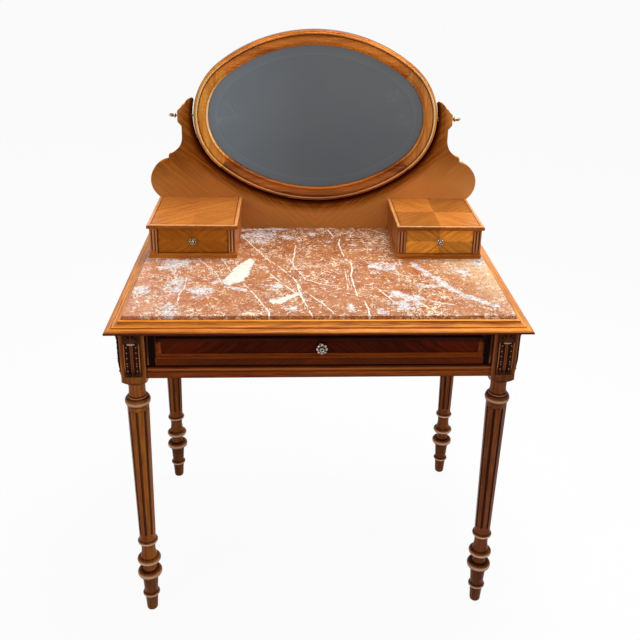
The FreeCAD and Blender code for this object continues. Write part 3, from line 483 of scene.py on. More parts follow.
def wood(name, light, dark, along="X", seams=None, slant=0.0, face="XZ", chequer=None, gloss=0.30, shine=0.06,
         relief=None, glaze_and_painted_shade=shade(48, 16, 6), wear_and_painted_light=shade(236, 176, 120), **scales):
    """A polished wood: its two figure colours, its grain direction, a chequer for quartered veneer, a relief that
    paints shade and highlights.
    """
    material, tree, shader = new_material(name)
    scales = {key.replace("_", " ").title(): value for key, value in scales.items()}
    place = grain_place(tree, along, seams, slant, face)
    figure, pores, height = add(tree, "ShaderNodeGroup", {"Grain Place": place, **scales},
                                node_tree=walnut_figure).outputs
    colour = colours(tree, figure, dark, light)
    if chequer:
        lines, sign, depth = chequer
        sides = parts(tree, object_place(tree))
        signs = [sums(tree, "SIGN", less(tree, sides["XYZ".index(axis)], line)) for axis, line in lines.items()]
        tone = sums(tree, "MULTIPLY_ADD", times(tree, signs[0], times(tree, signs[1], sign)), depth, 1.0)
        tone = add(tree, "ShaderNodeCombineXYZ", {0: tone, 1: tone, 2: tone}).outputs[0]
        colour = colours(tree, 1.0, colour, tone, "MULTIPLY")
    colour = colours(tree, times(tree, pores, PORE_DARKNESS), colour, darker(dark, PORE_SHADE))
    if relief:
        tone = relief(tree)
        # Under a half the tone paints shade, with some old polish, towards the dark colour; over a half it paints
        # highlights, with some wear, towards the pale colour.
        colour = colours(tree, steps(tree, tone, 0.5, 0.0), colour, glaze_and_painted_shade)
        colour = colours(tree, steps(tree, tone, 0.5, 1.0), colour, wear_and_painted_light)
        tree.links.new(steps(tree, tone, 0.62, 0.95, 0.0, RUBBED_COAT), shader.inputs["Coat Weight"])
        set_inputs(shader, Coat_Roughness=COAT_ROUGHNESS)
    set_inputs(shader, Specular_IOR_Level=shine)
    tree.links.new(colour, shader.inputs["Base Color"])
    tree.links.new(sums(tree, "MULTIPLY_ADD", pores, PORE_ROUGHNESS, gloss), shader.inputs["Roughness"])
    bump = add(tree, "ShaderNodeBump", {"Height": height, "Strength": BUMP_STRENGTH, "Distance": BUMP_DISTANCE})
    tree.links.new(bump.outputs[0], shader.inputs["Normal"])
    return material


finished = []


def finish(material, *names):
    """Gives CAD nodes their material."""
    for name in names:
        nodes[name].data.materials.clear()
        nodes[name].data.materials.append(material)
        finished.append(name)


print("a mid brown in linear light:", [round(c, 3) for c in shade(128, 84, 48)[:3]])

# %% [markdown]
# A leg is turned on a lathe, so its hollows and rims are rings at fixed heights, and its flutes are where the surface
# lies inside the tapering cylinder of the shaft. Both are worked out here, and their tones are painted: shade in the
# hollows and flutes, with some dirt, and highlights on the rims. Each leg has its own pair of colours, which paint the
# light: the right front leg and the rear legs are painted darker, as in shade, and the flutes of the right legs are
# darker still. The corners of the blocks are painted lighter, as highlights.

# %% Legs
SHAFT_FOOT, SHAFT_TOP = 214.0, 552.0
SHAFT_RADII = (17.8, 22.7)
SHAFT_END = 1
FLUTE_DEPTHS = (0.15, 1.3)
FLUTE_SHADE_TONES = {"left": 0.17, "right": 0.1}
BLOCK_CORNER, BLOCK_FOOT = (21.4, 23.4), (617.0, 621.0)
CORNER_HIGHLIGHT = 0.22
# Dark stops are painted shade in the hollows, pale stops are painted highlights on the rims.
LOW_RINGS = [(0, 0.1), (5, 0.34), (40, 0.3), (42.5, 0.1), (45, 0.6), (48, 0.95), (50, 0.7), (52, 0.12), (57, 0.3),
             (95, 0.22), (98.5, 0.08), (102, 0.3), (106, 0.62), (110, 0.9), (113, 0.7), (115.5, 0.4), (117.5, 0.06),
             (121, 0.42), (135, 0.34), (139, 0.08), (142, 0.5), (146, 0.95), (149.5, 0.66), (153, 0.08), (157, 0.5),
             (186, 0.42), (192, 0.1), (194, 0.6), (197.5, 1.0), (199.5, 0.6), (201, 0.1), (206, 0.42)]
HIGH_RINGS = [(540, 0.5), (550, 0.36), (552.5, 0.06), (555.5, 0.4), (558.5, 0.72), (561.5, 0.8), (565, 0.55),
              (570.5, 0.1), (572.3, 0.9), (574.5, 0.1), (578, 0.45), (600, 0.5), (607, 0.3), (610, 0.1),
              (614, 0.32), (640, 0.38)]
LEG_TONES_LIT_AND_SHADED = {
    "front_left": (shade(190, 112, 44), shade(124, 60, 16)), "rear_left": (shade(158, 88, 34), shade(98, 44, 12)),
    "front_right": (shade(146, 78, 36), shade(88, 38, 12)), "rear_right": (shade(158, 88, 38), shade(96, 44, 14)),
}


def leg_relief(low, high, flute_tone):
    def relief(tree):
        x, y, z = place_mm(tree)
        a = less(tree, x, (low.x + high.x) / 2)
        b = less(tree, y, (low.y + high.y) / 2)
        full = add(tree, "ShaderNodeMapRange", {"Value": z, "From Min": SHAFT_FOOT, "From Max": SHAFT_TOP,
                                                "To Min": SHAFT_RADII[0], "To Max": SHAFT_RADII[1]}).outputs[0]
        flute = steps(tree, less(tree, full, slope(tree, a, b)), *FLUTE_DEPTHS, 0.5, flute_tone)
        on_shaft = times(tree, sums(tree, "GREATER_THAN", z, SHAFT_FOOT + SHAFT_END),
                         sums(tree, "LESS_THAN", z, SHAFT_TOP - SHAFT_END))
        rings = between(tree, sums(tree, "LESS_THAN", z, SHAFT_FOOT), grey_ramp(tree, z, HIGH_RINGS),
                        grey_ramp(tree, z, LOW_RINGS))
        tone = between(tree, on_shaft, rings, flute)
        corner = sums(tree, "MINIMUM", sums(tree, "ABSOLUTE", a), sums(tree, "ABSOLUTE", b))
        # Painted highlight along the corners of the blocks.
        corner_highlight = times(tree, steps(tree, corner, *BLOCK_CORNER), steps(tree, z, *BLOCK_FOOT))
        return sums(tree, "MULTIPLY_ADD", corner_highlight, CORNER_HIGHLIGHT, tone)
    return relief


for place, tones in LEG_TONES_LIT_AND_SHADED.items():
    node = place + "_leg"
    relief = leg_relief(*box_mm(node), FLUTE_SHADE_TONES[place.split("_")[1]])
    finish(wood(node + "_walnut", *tones, "Z", relief=relief, gloss=0.24, shine=0.06, glaze_and_painted_shade=shade(44, 8, 2),
                wear_and_painted_light=shade(236, 188, 152)), node)
print("legs:", len(LEG_TONES_LIT_AND_SHADED))

# %% [markdown]
# The moulded border of the top has, from the outside in: a narrow fillet, a round ovolo, a groove, and a hollow that
# rises to the flat beside the marble. The distance in from the edge is the same on three sides, and the tones along it
# are painted light and shade: dark on the steep faces, with highlights on the ovolo and the flat. The front member is
# darker towards its left end.

# %% Border
# Tones from the front edge inwards: painted shade under a half, painted highlight over it.
FRONT_LEVELS = [(0, 0.05), (1.2, 0.18), (3, 0.42), (5.5, 0.56), (9, 0.66), (12.2, 0.66), (12.9, 0.5), (14.1, 0.5),
                (14.6, 0.8), (16, 0.62), (18, 0.54), (21, 0.48), (24.4, 0.44), (25, 0.8), (26.4, 0.76), (28.4, 0.96),
                (32, 1.0)]
SIDE_LEVELS = [(0, 0.6), (1.2, 0.4), (2.4, 0.5), (9, 0.66), (12.2, 0.5), (12.9, 0.15), (14.1, 0.15), (14.6, 0.8),
               (16, 0.6), (21, 0.5), (24.4, 0.3), (25, 0.66), (28, 0.6), (31, 0.5), (32, 0.15)]
LEFT_DARKNESS = (-400.0, 120.0, 0.6, 1.0)
BORDER_TONES = (shade(240, 150, 54), shade(134, 60, 12))
BORDER_FINISH = {"gloss": 0.26, "shine": 0.08, "line_scale": 260.0}
half_width = box_mm("top_right_moulding")[1].x


def front_relief(tree):
    x, y, _ = place_mm(tree)
    tone = grey_ramp(tree, less(tree, y, front_edge / MM), FRONT_LEVELS)
    return times(tree, tone, steps(tree, x, *LEFT_DARKNESS))


def side_relief(tree):
    inset = less(tree, half_width, sums(tree, "ABSOLUTE", place_mm(tree)[0]))
    return grey_ramp(tree, inset, SIDE_LEVELS)


finish(wood("rail_walnut", *BORDER_TONES, "X", relief=front_relief, glaze_and_painted_shade=shade(84, 26, 8),
            wear_and_painted_light=shade(250, 172, 84), **BORDER_FINISH), "top_front_moulding")
finish(wood("rear_rail_walnut", *BORDER_TONES, "X"), "top_rear_rail")
finish(wood("side_rail_walnut", *BORDER_TONES, "Y", relief=side_relief, glaze_and_painted_shade=shade(96, 40, 12),
            wear_and_painted_light=shade(246, 190, 116), **BORDER_FINISH), "top_left_moulding", "top_right_moulding")
print("the border ends", round(half_width, 1), "mm from the middle")

# %% [markdown]
# Under the border, the bottom rail has a small moulding of its own, and the front blocks carry sunk plaques with
# raised rims. The rail's tone follows its height, and the tone of a plaque follows the distance from its middle line,
# whichever face it is on; both paint shade in the hollows and highlights on the beads and rims. A plaque's top, where
# the carved leaves sit, is painted all in shadow, and its foot is dark where it thins out.

# %% Bottom rail, aprons and plaques
RAIL_LEVELS = [(0, 0.2), (2, 0.42), (7, 0.52), (10, 0.46), (11.4, 0.66), (12.4, 0.3), (14, 0.32), (15.4, 0.62),
               (18, 0.82), (20, 0.66), (22.5, 0.4), (24, 0.2), (26.5, 0.05)]
PLAQUE_LEVELS = [(0, 0.3), (1.4, 0.5), (2.4, 0.7), (3.1, 0.1), (5, 0.06), (12.8, 0.0), (13.5, 0.42), (15.0, 0.86),
                 (16.0, 0.5), (16.6, 0.12), (17.2, 0.02)]
CUP_SHADOW_TONE = 0.16
CUP_SHADOW_BELOW_TOP = (27.0, 24.5)
FOOT_ABOVE_END = (4.0, 24.0)
FOOT_DARKNESS = 0.35


def rail_relief(tree):
    height = less(tree, place_mm(tree)[2], box_mm("front_bottom_rail")[0].z)
    return grey_ramp(tree, height, RAIL_LEVELS)


def plaque_relief(tree):
    low, high = box_mm("block_plaques")
    leg_low, leg_high = box_mm("front_right_leg")
    x, y, z = place_mm(tree)
    across = apart(tree, sums(tree, "ABSOLUTE", x), (leg_low.x + leg_high.x) / 2)
    back = apart(tree, y, (leg_low.y + leg_high.y) / 2)
    tone = grey_ramp(tree, sums(tree, "MINIMUM", across, back), PLAQUE_LEVELS)
    # Painted shadow over the top of the plaque.
    cup = steps(tree, z, *(high.z - below for below in CUP_SHADOW_BELOW_TOP))
    foot = steps(tree, z, *(low.z + up for up in FOOT_ABOVE_END), FOOT_DARKNESS, 1.0)
    return times(tree, between(tree, cup, tone, CUP_SHADOW_TONE), foot)


finish(wood("bottom_rail_walnut", shade(170, 84, 22), shade(112, 46, 8), "X", relief=rail_relief,
            glaze_and_painted_shade=shade(40, 10, 2), wear_and_painted_light=shade(216, 132, 70), shine=0.05, line_scale=260.0), "front_bottom_rail")
finish(wood("apron_walnut", shade(150, 86, 38), shade(96, 50, 18), "Y"), "left_side_apron", "right_side_apron")
finish(wood("plaque_walnut", shade(136, 68, 22), shade(88, 38, 10), "Z", relief=plaque_relief,
            glaze_and_painted_shade=shade(36, 10, 6), wear_and_painted_light=shade(214, 138, 84), shine=0.05), "block_plaques")
print("nodes finished so far:", len(finished))

# %% [markdown]
# The back board is veneered with two matched sheets that meet in the middle, both laid at a slant. Its lobes beside
# the marble are painted paler, as a reflection of the marble; up in the waists it is darker, and the right side is a
# little lighter. The mirror's shadow on the rim of the oval cut-out is painted too, so the tone also follows the
# distance from the oval.

# %% Back board
# Tones by height: the lower lobes are painted paler as a reflection of the marble, and the waists are darker.
BOARD_LEVELS = [(0, 0.78), (60, 0.8), (130, 0.74), (175, 0.6), (215, 0.46), (260, 0.58), (340, 0.8)]
BOARD_MIDDLE_TONE = 0.76
BOARD_MIDDLE_END = (150.0, 290.0)
BOARD_RIGHT_LIGHT = (120.0, 260.0, 0.0, 0.12)
# Painted shadow of the mirror, darkest on the wall of the cut-out.
OVAL_SHADOW = [(-36, 1.0), (-24, 0.85), (-15, 0.52), (-9, 0.18), (-4.2, 0.0)]


def board_relief(tree):
    x, _, z = place_mm(tree)
    base = grey_ramp(tree, less(tree, z, box_mm("back_board")[0].z), BOARD_LEVELS)
    outwards = steps(tree, sums(tree, "ABSOLUTE", x), *BOARD_MIDDLE_END)
    tone = between(tree, outwards, BOARD_MIDDLE_TONE, base)
    tone = sums(tree, "ADD", tone, steps(tree, x, *BOARD_RIGHT_LIGHT))
    return times(tree, tone, grey_ramp(tree, depth_in_oval(tree), OVAL_SHADOW))


finish(wood("board_veneer", shade(176, 103, 37), shade(122, 61, 15), "X", seams={"X": 0.0}, slant=42, gloss=0.34,
            shine=0.0, band_scale=160.0, line_scale=480.0, relief=board_relief, wear_and_painted_light=shade(226, 150, 76),
            glaze_and_painted_shade=shade(66, 18, 4)), "back_board")
print("wood materials:", sum("walnut" in m.name or "veneer" in m.name for m in bpy.data.materials))

# %% [markdown]
# The front of the wide drawer is darker, redder veneer, laid at a slant from both ends towards the middle. Its raised
# moulding is straight-grained, so the strips across and the strips up and down get the same simple wood, with painted
# highlights on the raised lines and painted dark along the top, as the border's shadow. Outside the moulding, in the
# corner beside the legs, the front is painted nearly black: shade, with some old polish.

# %% Wide drawer
# Across the margin: painted highlight lines, and painted shade beside the legs.
DRAWER_LEVELS = [(-1, 0.5), (0.2, 0.2), (1, 0.62), (2, 0.56), (3.2, 0.2), (5, 0.04), (15, 0.02), (16.5, 0.6),
                 (18.5, 0.68), (20.5, 0.1)]
UPRIGHT_STRIPS = [(0, 0.3), (3.4, 0.34), (4.8, 0.7), (7, 0.76), (8, 0.4), (10, 0.3), (11, 0.5)]
LOWER_STRIP = [(0, 0.2), (2, 0.45), (4, 0.66), (6, 0.42), (8, 0.36), (9.4, 0.62), (10.4, 0.3), (12, 0.5)]
BORDER_SHADOW = [(0, 0.12), (8, 0.2), (12, 0.6), (16, 1.0)]
LOWER_MARGIN_LIGHT = 1.2
moulding_low, moulding_high = box_mm("main_drawer_moulding")


def drawer_relief(tree):
    x, _, z = place_mm(tree)
    tone = grey_ramp(tree, less(tree, sums(tree, "ABSOLUTE", x), moulding_high.x), DRAWER_LEVELS)
    return times(tree, tone, steps(tree, z, moulding_low.z + 1, moulding_low.z, 1.0, LOWER_MARGIN_LIGHT))


def moulding_relief(tree):
    x, _, z = place_mm(tree)
    inward = less(tree, moulding_high.x, sums(tree, "ABSOLUTE", x))
    upright = grey_ramp(tree, inward, UPRIGHT_STRIPS)
    across = grey_ramp(tree, less(tree, z, moulding_low.z), LOWER_STRIP)
    shadow = grey_ramp(tree, less(tree, moulding_high.z, z), BORDER_SHADOW)
    return times(tree, sums(tree, "MINIMUM", upright, across), shadow)


finish(wood("drawer_veneer", shade(98, 30, 4), shade(52, 11, 1), "X", seams={"X": 0.0}, slant=-38, gloss=0.3,
            shine=0.03, line_scale=300.0, relief=drawer_relief, wear_and_painted_light=shade(190, 100, 40), glaze_and_painted_shade=shade(14, 4, 2)),
       "main_drawer_front")
finish(wood("drawer_moulding_walnut", shade(172, 84, 26), shade(118, 50, 10), "X", shine=0.04,
            relief=moulding_relief, glaze_and_painted_shade=shade(30, 6, 2), wear_and_painted_light=shade(216, 134, 76)), "main_drawer_moulding")
print("moulding", round(moulding_high.x * 2, 1), "mm long")

# %% [markdown]
# The two boxes on the marble have quartered veneer on their drawers and plates. On the left box the fields hardly
# differ, and the figure of its plate runs on across the seams. Each plate has a pale edging with a dark line inside
# it. Each side has two flutes on its front edge, painted dark as shade, between fillets painted pale as highlights.
# Each drawer is painted darker along its four edges, as shade in the gaps. The boxes were never quite alike, and they
# stand in different light, which is painted into their tones: the sides of the left box are lighter and those of the
# right box darker.

# %% Reliefs of the small boxes
PLATE_LEVELS = [(0, 0.3), (1, 0.62), (2.4, 0.76), (7.4, 0.68), (8.3, 0.4), (8.8, 0.1), (9.8, 0.1), (10.4, 0.5)]
# Flutes are painted dark as shade, and the fillets pale as highlights.
FLUTE_LEVELS = [(0, 0.74), (1.4, 0.66), (2.1, 0.28), (3.6, 0.14), (5.1, 0.28), (5.8, 0.62), (7.6, 0.72), (9, 0.5),
                (9.9, 0.22)]
# The drawer edges are painted darker, as shade in the gaps.
EDGE_LEVELS = [(0, 0.12), (1.2, 0.3), (4, 0.45), (9, 0.5)]
FLUTE_ENDS = (4.0, 7.0)
FRONT_STRIP = (6.0, 5.4)


def from_ends(tree, value, low, high):
    """The distance from the nearer of two ends."""
    return sums(tree, "MINIMUM", less(tree, value, low), less(tree, high, value))


def plate_relief(low, high):
    def relief(tree):
        x, y, _ = place_mm(tree)
        inset = sums(tree, "MINIMUM", from_ends(tree, x, low.x, high.x), less(tree, y, low.y))
        return grey_ramp(tree, inset, PLATE_LEVELS)
    return relief


def side_panel_relief(low, high):
    def relief(tree):
        x, y, z = place_mm(tree)
        flutes = grey_ramp(tree, apart(tree, x, (low.x + high.x) / 2), FLUTE_LEVELS)
        half = (high.z - low.z) / 2
        fluted = steps(tree, apart(tree, z, (low.z + high.z) / 2), *(half - end for end in FLUTE_ENDS))
        in_front = steps(tree, y, *(low.y + back for back in FRONT_STRIP))
        return between(tree, in_front, 0.5, between(tree, fluted, 0.5, flutes))
    return relief


def front_edge_relief(low, high):
    def relief(tree):
        x, _, z = place_mm(tree)
        inset = sums(tree, "MINIMUM", from_ends(tree, x, low.x, high.x), from_ends(tree, z, low.z, high.z))
        return grey_ramp(tree, inset, EDGE_LEVELS)
    return relief


print("stops in the flutes' tones:", len(FLUTE_LEVELS))

# %% [markdown]
# Both boxes are finished by one loop, which measures where the seams of each plate and drawer front lie. The
# bases are plain rails of a brighter walnut.

# %% Finishes of the small boxes
# The sides' tones paint the light: lighter on the left box, darker on the right.
BOXES = {
    "left": {"plate": (shade(198, 122, 54), shade(158, 90, 34)), "drawer": (shade(188, 112, 32), shade(160, 92, 22)),
             "sides": (shade(214, 136, 72), shade(162, 96, 46)), "contrast": 0.05, "sign": 1, "quartered": False},
    "right": {"plate": (shade(188, 116, 48), shade(150, 86, 32)), "drawer": (shade(246, 168, 66), shade(204, 126, 40)),
              "sides": (shade(188, 112, 56), shade(132, 72, 28)), "contrast": 0.2, "sign": -1, "quartered": True},
}
BOX_VENEER = {"band_scale": 150.0, "line_scale": 420.0}

for side, box in BOXES.items():
    plate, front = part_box(side + "_box_top"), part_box(side + "_drawer_front")
    middle = (plate[0] + plate[1]) / 2
    plate_seams = {"X": middle.x, "Y": middle.y}
    front_seams = {"X": middle.x, "Z": (front[0].z + front[1].z) / 2}
    finish(wood(side + "_box_top_veneer", *box["plate"], "X", seams=plate_seams if box["quartered"] else None,
                slant=40, face="XY", shine=0.1, relief=plate_relief(*box_mm(side + "_box_top")),
                glaze_and_painted_shade=shade(84, 38, 12), wear_and_painted_light=shade(236, 172, 112),
                chequer=(plate_seams, box["sign"], box["contrast"]), **BOX_VENEER), side + "_box_top")
    finish(wood(side + "_box_drawer_veneer", *box["drawer"], "X", seams=front_seams, slant=36, shine=0.05,
                relief=front_edge_relief(*box_mm(side + "_drawer_front")), glaze_and_painted_shade=shade(70, 30, 6),
                chequer=(front_seams, 1, box["contrast"]), **BOX_VENEER), side + "_drawer_front")
    finish(wood(side + "_box_base_walnut", shade(206, 120, 44), shade(150, 78, 20), "X", line_scale=300.0),
           side + "_box_base")
    for place in ("outer", "inner"):
        node = side + "_box_" + place + "_side"
        finish(wood(node + "_walnut", *box["sides"], "Z", relief=side_panel_relief(*box_mm(node)),
                    glaze_and_painted_shade=shade(70, 26, 8), wear_and_painted_light=shade(244, 190, 150)), node)
print("nodes finished so far:", len(finished))

# %% [markdown]
# Inside and behind, nobody polished anything. The rails, runners, battens and the panel under the marble are
# plain pale wood, and the drawer linings are a little darker and waxed.

# %% Hidden wood
PLAIN = (shade(176, 136, 92), shade(140, 100, 62))
LINING = (shade(186, 144, 96), shade(150, 108, 66))
finish(wood("plain_wood_across", *PLAIN, "X", gloss=0.6), "front_top_rail", "back_apron", "top_panel",
       "mirror_backboard")
finish(wood("plain_wood_back", *PLAIN, "Y", gloss=0.6), "left_drawer_runner", "right_drawer_runner")
finish(wood("plain_wood_up", *PLAIN, "Z", gloss=0.6), "left_back_batten", "right_back_batten")
lining_across = wood("lining_across", *LINING, "X", gloss=0.5)
lining_back = wood("lining_back", *LINING, "Y", gloss=0.5)
for drawer in ("main_drawer", "left_drawer", "right_drawer"):
    finish(lining_back, drawer + "_left_side", drawer + "_right_side")
    finish(lining_across, drawer + "_back", drawer + "_bottom")
print("nodes finished so far:", len(finished))

# %% [markdown]
# The mirror's frame is made of four curved pieces with straight grain, so the grain of each piece runs along its
# middle line: level at the top and bottom, upright at the sides. Each piece came from another board and has its own
# tone, which is why the joints show. The bead near the outer edge and the lip beside the glass carry painted
# highlights, stronger in the middle of a side piece than at its joints, and a dark line of painted shade, with some
# old polish, lies in the groove beside the bead.

# %% Mirror frame
# Per piece: the strength of the painted highlights on the bead and the lip, in the middle and at the joints.
FRAME_PIECES = {
    "top": {"along": "X", "tones": (shade(236, 139, 52), shade(164, 85, 23)), "middle": (0.08, 0.0),
            "joints": (0.2, 0.06)},
    "bottom": {"along": "X", "tones": (shade(200, 112, 42), shade(120, 56, 16)), "middle": (0.2, 0.14),
               "joints": (0.3, 0.16)},
    "left": {"along": "Z", "tones": (shade(250, 172, 68), shade(196, 113, 34)), "middle": (0.5, 0.6),
             "joints": (0.32, 0.24)},
    "right": {"along": "Z", "tones": (shade(230, 152, 70), shade(166, 92, 34)), "middle": (0.46, 0.14),
              "joints": (0.32, 0.08)},
}
MIDDLE_END = {"X": (60.0, 200.0), "Z": (35.0, 100.0)}


def frame_levels(bead, lip):
    """Tones from the outer edge inwards, in mm, with the strength of the painted highlights on the bead and on the
    lip.
    """
    return [(0, 0.08), (1, 0.3), (2.4, 0.52), (4.6, 0.5), (6.2, 0.5 + bead / 2), (7.8, 0.5 + bead),
            (9.6, 0.5 + bead / 2), (10.6, 0.2), (12.2, 0.16), (13, 0.45), (18, 0.58), (26, 0.55), (30.2, 0.3),
            (31.4, 0.3 + lip), (32.6, 0.4 + lip), (34.8, 0.35 + lip), (36, 0.2), (40, 0.1)]


def frame_relief(along, at_middle, at_joints):
    def relief(tree):
        depth = depth_in_oval(tree)
        x, _, z = place_mm(tree)
        away = x if along == "X" else less(tree, z, oval_middle)
        share = steps(tree, sums(tree, "ABSOLUTE", away), *MIDDLE_END[along])
        tones = [grey_ramp(tree, depth, frame_levels(*pair)) for pair in (at_middle, at_joints)]
        return between(tree, share, *tones)
    return relief


for side, piece in FRAME_PIECES.items():
    finish(wood("frame_" + side + "_walnut", *piece["tones"], piece["along"], gloss=0.24, shine=0.06,
                relief=frame_relief(piece["along"], piece["middle"], piece["joints"]), glaze_and_painted_shade=shade(80, 30, 12),
                wear_and_painted_light=shade(255, 226, 172)), "mirror_frame_" + side)
print("frame pieces:", list(FRAME_PIECES))

# %% [markdown]
# A mirror is glass over silver, and to the eye it is a metal with no grain at all. This one is old: the silver has
# gone a little grey, with a few dark specks and four dull smears. It leans back by a few degrees in the photograph, so
# it shows the wall and not the marble. The solid model stands upright, so the material leans what is reflected. The
# reflection in the ground bevel is painted as a faint lighter and darker line all round.

# %% Mirror glass
MIRROR_LEAN = math.radians(3.9)
FACES_FRONT = -0.7
SMEARS = [(-208.0, 1064.0, 44.0), (-232.0, 1040.0, 30.0), (192.0, 1110.0, 36.0), (222.0, 1052.0, 34.0)]
SMEAR_CORE = 0.1
SPECK_SCALE, SPECK_SIZE = 30.0, 0.05
BEVEL_LINE = 59.5
PAINTED_BEVEL_TONES = [(-24, 0.82), (-18, 0.93), (-2.4, 1.0), (-1.2, 1.12), (0, 0.86), (1.4, 0.95), (3, 0.95)]


def silver_colour(tree, place):
    """Greyed silver, wiped dull in a few places, with the bevel's reflection painted as a line, and dark specks."""
    x, _, z = parts(tree, place, MM)
    cloud = noise(tree, place, 4.0, 3.0)
    silver = colours(tree, steps(tree, cloud, 0.3, 0.7), (0.80, 0.81, 0.83, 1), (0.88, 0.88, 0.88, 1))
    wipe = steps(tree, noise(tree, place, 55.0, 4.0, 0.6, 1.5), 0.36, 0.72)
    for across, up, reach in SMEARS:
        away = slope(tree, less(tree, x, across), less(tree, z, up))
        near = times(tree, steps(tree, away, reach, reach * SMEAR_CORE), wipe)
        silver = colours(tree, near, silver, WHITE_LIGHT)
    # Painted reflection of the bevel: a lighter and a darker line.
    line = grey_ramp(tree, depth_in_oval(tree), [(BEVEL_LINE + past, tone) for past, tone in PAINTED_BEVEL_TONES])
    silver = colours(tree, 1.0, silver, line, "MULTIPLY")
    specks = add(tree, "ShaderNodeTexVoronoi", {"Vector": place, "Scale": SPECK_SCALE}, feature="F1")
    size = times(tree, steps(tree, noise(tree, place, 9.0, 2.0), 0.58, 0.78), SPECK_SIZE)
    mask = sums(tree, "LESS_THAN", specks.outputs["Distance"], size)
    return colours(tree, mask, silver, (0.3, 0.29, 0.28, 1))


def turned(tree, direction, start, end):
    """A direction given in one space and wanted in another."""
    return add(tree, "ShaderNodeVectorTransform", {0: direction}, vector_type="NORMAL", convert_from=start,
               convert_to=end).outputs[0]


def old_silver():
    material, tree, shader = new_material("old_silver")
    tree.links.new(silver_colour(tree, object_place(tree)), shader.inputs["Base Color"])
    set_inputs(shader, Metallic=1.0, Roughness=0.04)
    leaning = turned(tree, (0.0, -math.cos(MIRROR_LEAN), math.sin(MIRROR_LEAN)), "OBJECT", "WORLD")
    normal = add(tree, "ShaderNodeNewGeometry").outputs["Normal"]
    own = turned(tree, normal, "WORLD", "OBJECT")
    in_front = sums(tree, "LESS_THAN", parts(tree, own)[1], FACES_FRONT)
    mixed = add(tree, "ShaderNodeMix", {0: in_front, 4: normal, 5: leaning}, data_type="VECTOR").outputs[1]
    tree.links.new(mixed, shader.inputs["Normal"])
    return material


finish(old_silver(), "mirror_glass")
print("smears on the mirror:", len(SMEARS))

# %% [markdown]
# Metal that nobody polishes turns brown in its hollows and stays bright on its rims. A noise mask moves the
# colour and the roughness together, because tarnish is both darker and duller than clean metal. Where a piece
# has a field named hollow, the tarnish follows that too.

# %% Metals
HOLLOW_SHADE = 0.12


def metal(name, bright, dull, smooth, rough, scale=120.0, hollows=False):
    material, tree, shader = new_material(name)
    mask = steps(tree, noise(tree, object_place(tree), scale, 4.0), 0.42, 0.68)
    colour = colours(tree, mask, bright, dull)
    if hollows:
        deep = add(tree, "ShaderNodeAttribute", attribute_name="hollow").outputs["Fac"]
        colour = colours(tree, steps(tree, deep, 0.15, 0.9), colour, darker(dull, HOLLOW_SHADE))
        mask = sums(tree, "MAXIMUM", mask, deep)
    tree.links.new(colour, shader.inputs["Base Color"])
    gloss = add(tree, "ShaderNodeMapRange", {"Value": mask, "To Min": smooth, "To Max": rough})
    tree.links.new(gloss.outputs[0], shader.inputs["Roughness"])
    set_inputs(shader, Metallic=1.0)
    return material


brass = metal("aged_brass", shade(206, 168, 96), shade(120, 86, 44), 0.22, 0.5)
silvered = metal("silvered_brass", shade(196, 188, 170), shade(96, 76, 50), 0.18, 0.45)
pewter = metal("aged_white_metal", shade(204, 192, 178), shade(110, 98, 88), 0.22, 0.5, 200.0, hollows=True)
steel = metal("screw_steel", shade(150, 148, 144), shade(96, 90, 82), 0.35, 0.6)
finish(brass, "pivot_bushes", "pivot_sockets", "right_pivot_screw")
finish(silvered, "left_pivot_screw")
print("metals:", [m.name for m in (brass, silvered, pewter, steel)])

# %% [markdown]
# Each drawer has one knob in the shape of a rosette: a stem, a ring of eight petals, and a raised ring with a
# dimple in the middle. It is a shape of revolution whose rim moves in and out with the angle. Each ring of
# the list has a radius share, a length share, how much the petals shape it, and how much tarnish it keeps.
# The deeper a point lies between the petals, the more tarnish it keeps too, so the same list writes the
# field that the metal reads.

# %% Rosette knobs
PETALS = 8
PETAL_ROUNDNESS = 0.55
NOTCH, NOTCH_DROP, NOTCH_TARNISH = 0.17, 0.12, 1.4
KNOB_ANGLES = 96
KNOB_RINGS = [
    (0.60, 0.0, 0, 0.3), (0.60, 0.10, 0, 0.1), (0.54, 0.14, 0, 0.2), (0.36, 0.17, 0, 0.8), (0.30, 0.28, 0, 1.0),
    (0.32, 0.46, 0, 1.0), (0.62, 0.55, 0.5, 0.8), (0.90, 0.60, 1, 0.4), (0.99, 0.66, 1, 0.0), (0.96, 0.73, 1, 0.0),
    (0.84, 0.80, 1, 0.0), (0.70, 0.82, 0.8, 0.1), (0.58, 0.79, 0.5, 0.5), (0.50, 0.76, 0.2, 1.0),
    (0.46, 0.80, 0, 1.0), (0.43, 0.90, 0, 0.3), (0.36, 0.97, 0, 0.0), (0.27, 1.0, 0, 0.0), (0.19, 0.97, 0, 0.1),
    (0.14, 0.90, 0, 0.9), (0.07, 0.86, 0, 1.0),
]


def mesh_from(work, name, smooth=False):
    """A mesh from a bmesh, its faces pointing outwards."""
    bmesh.ops.recalc_face_normals(work, faces=work.faces)
    mesh = bpy.data.meshes.new(name)
    work.to_mesh(mesh)
    work.free()
    for face in mesh.polygons:
        face.use_smooth = smooth
    return mesh


def join_rings(work, rings):
    """Faces between each closed ring of points and the next."""
    for first, second in zip(rings, rings[1:]):
        for k in range(len(first)):
            n = (k + 1) % len(first)
            work.faces.new((first[k], second[k], second[n], first[n]))


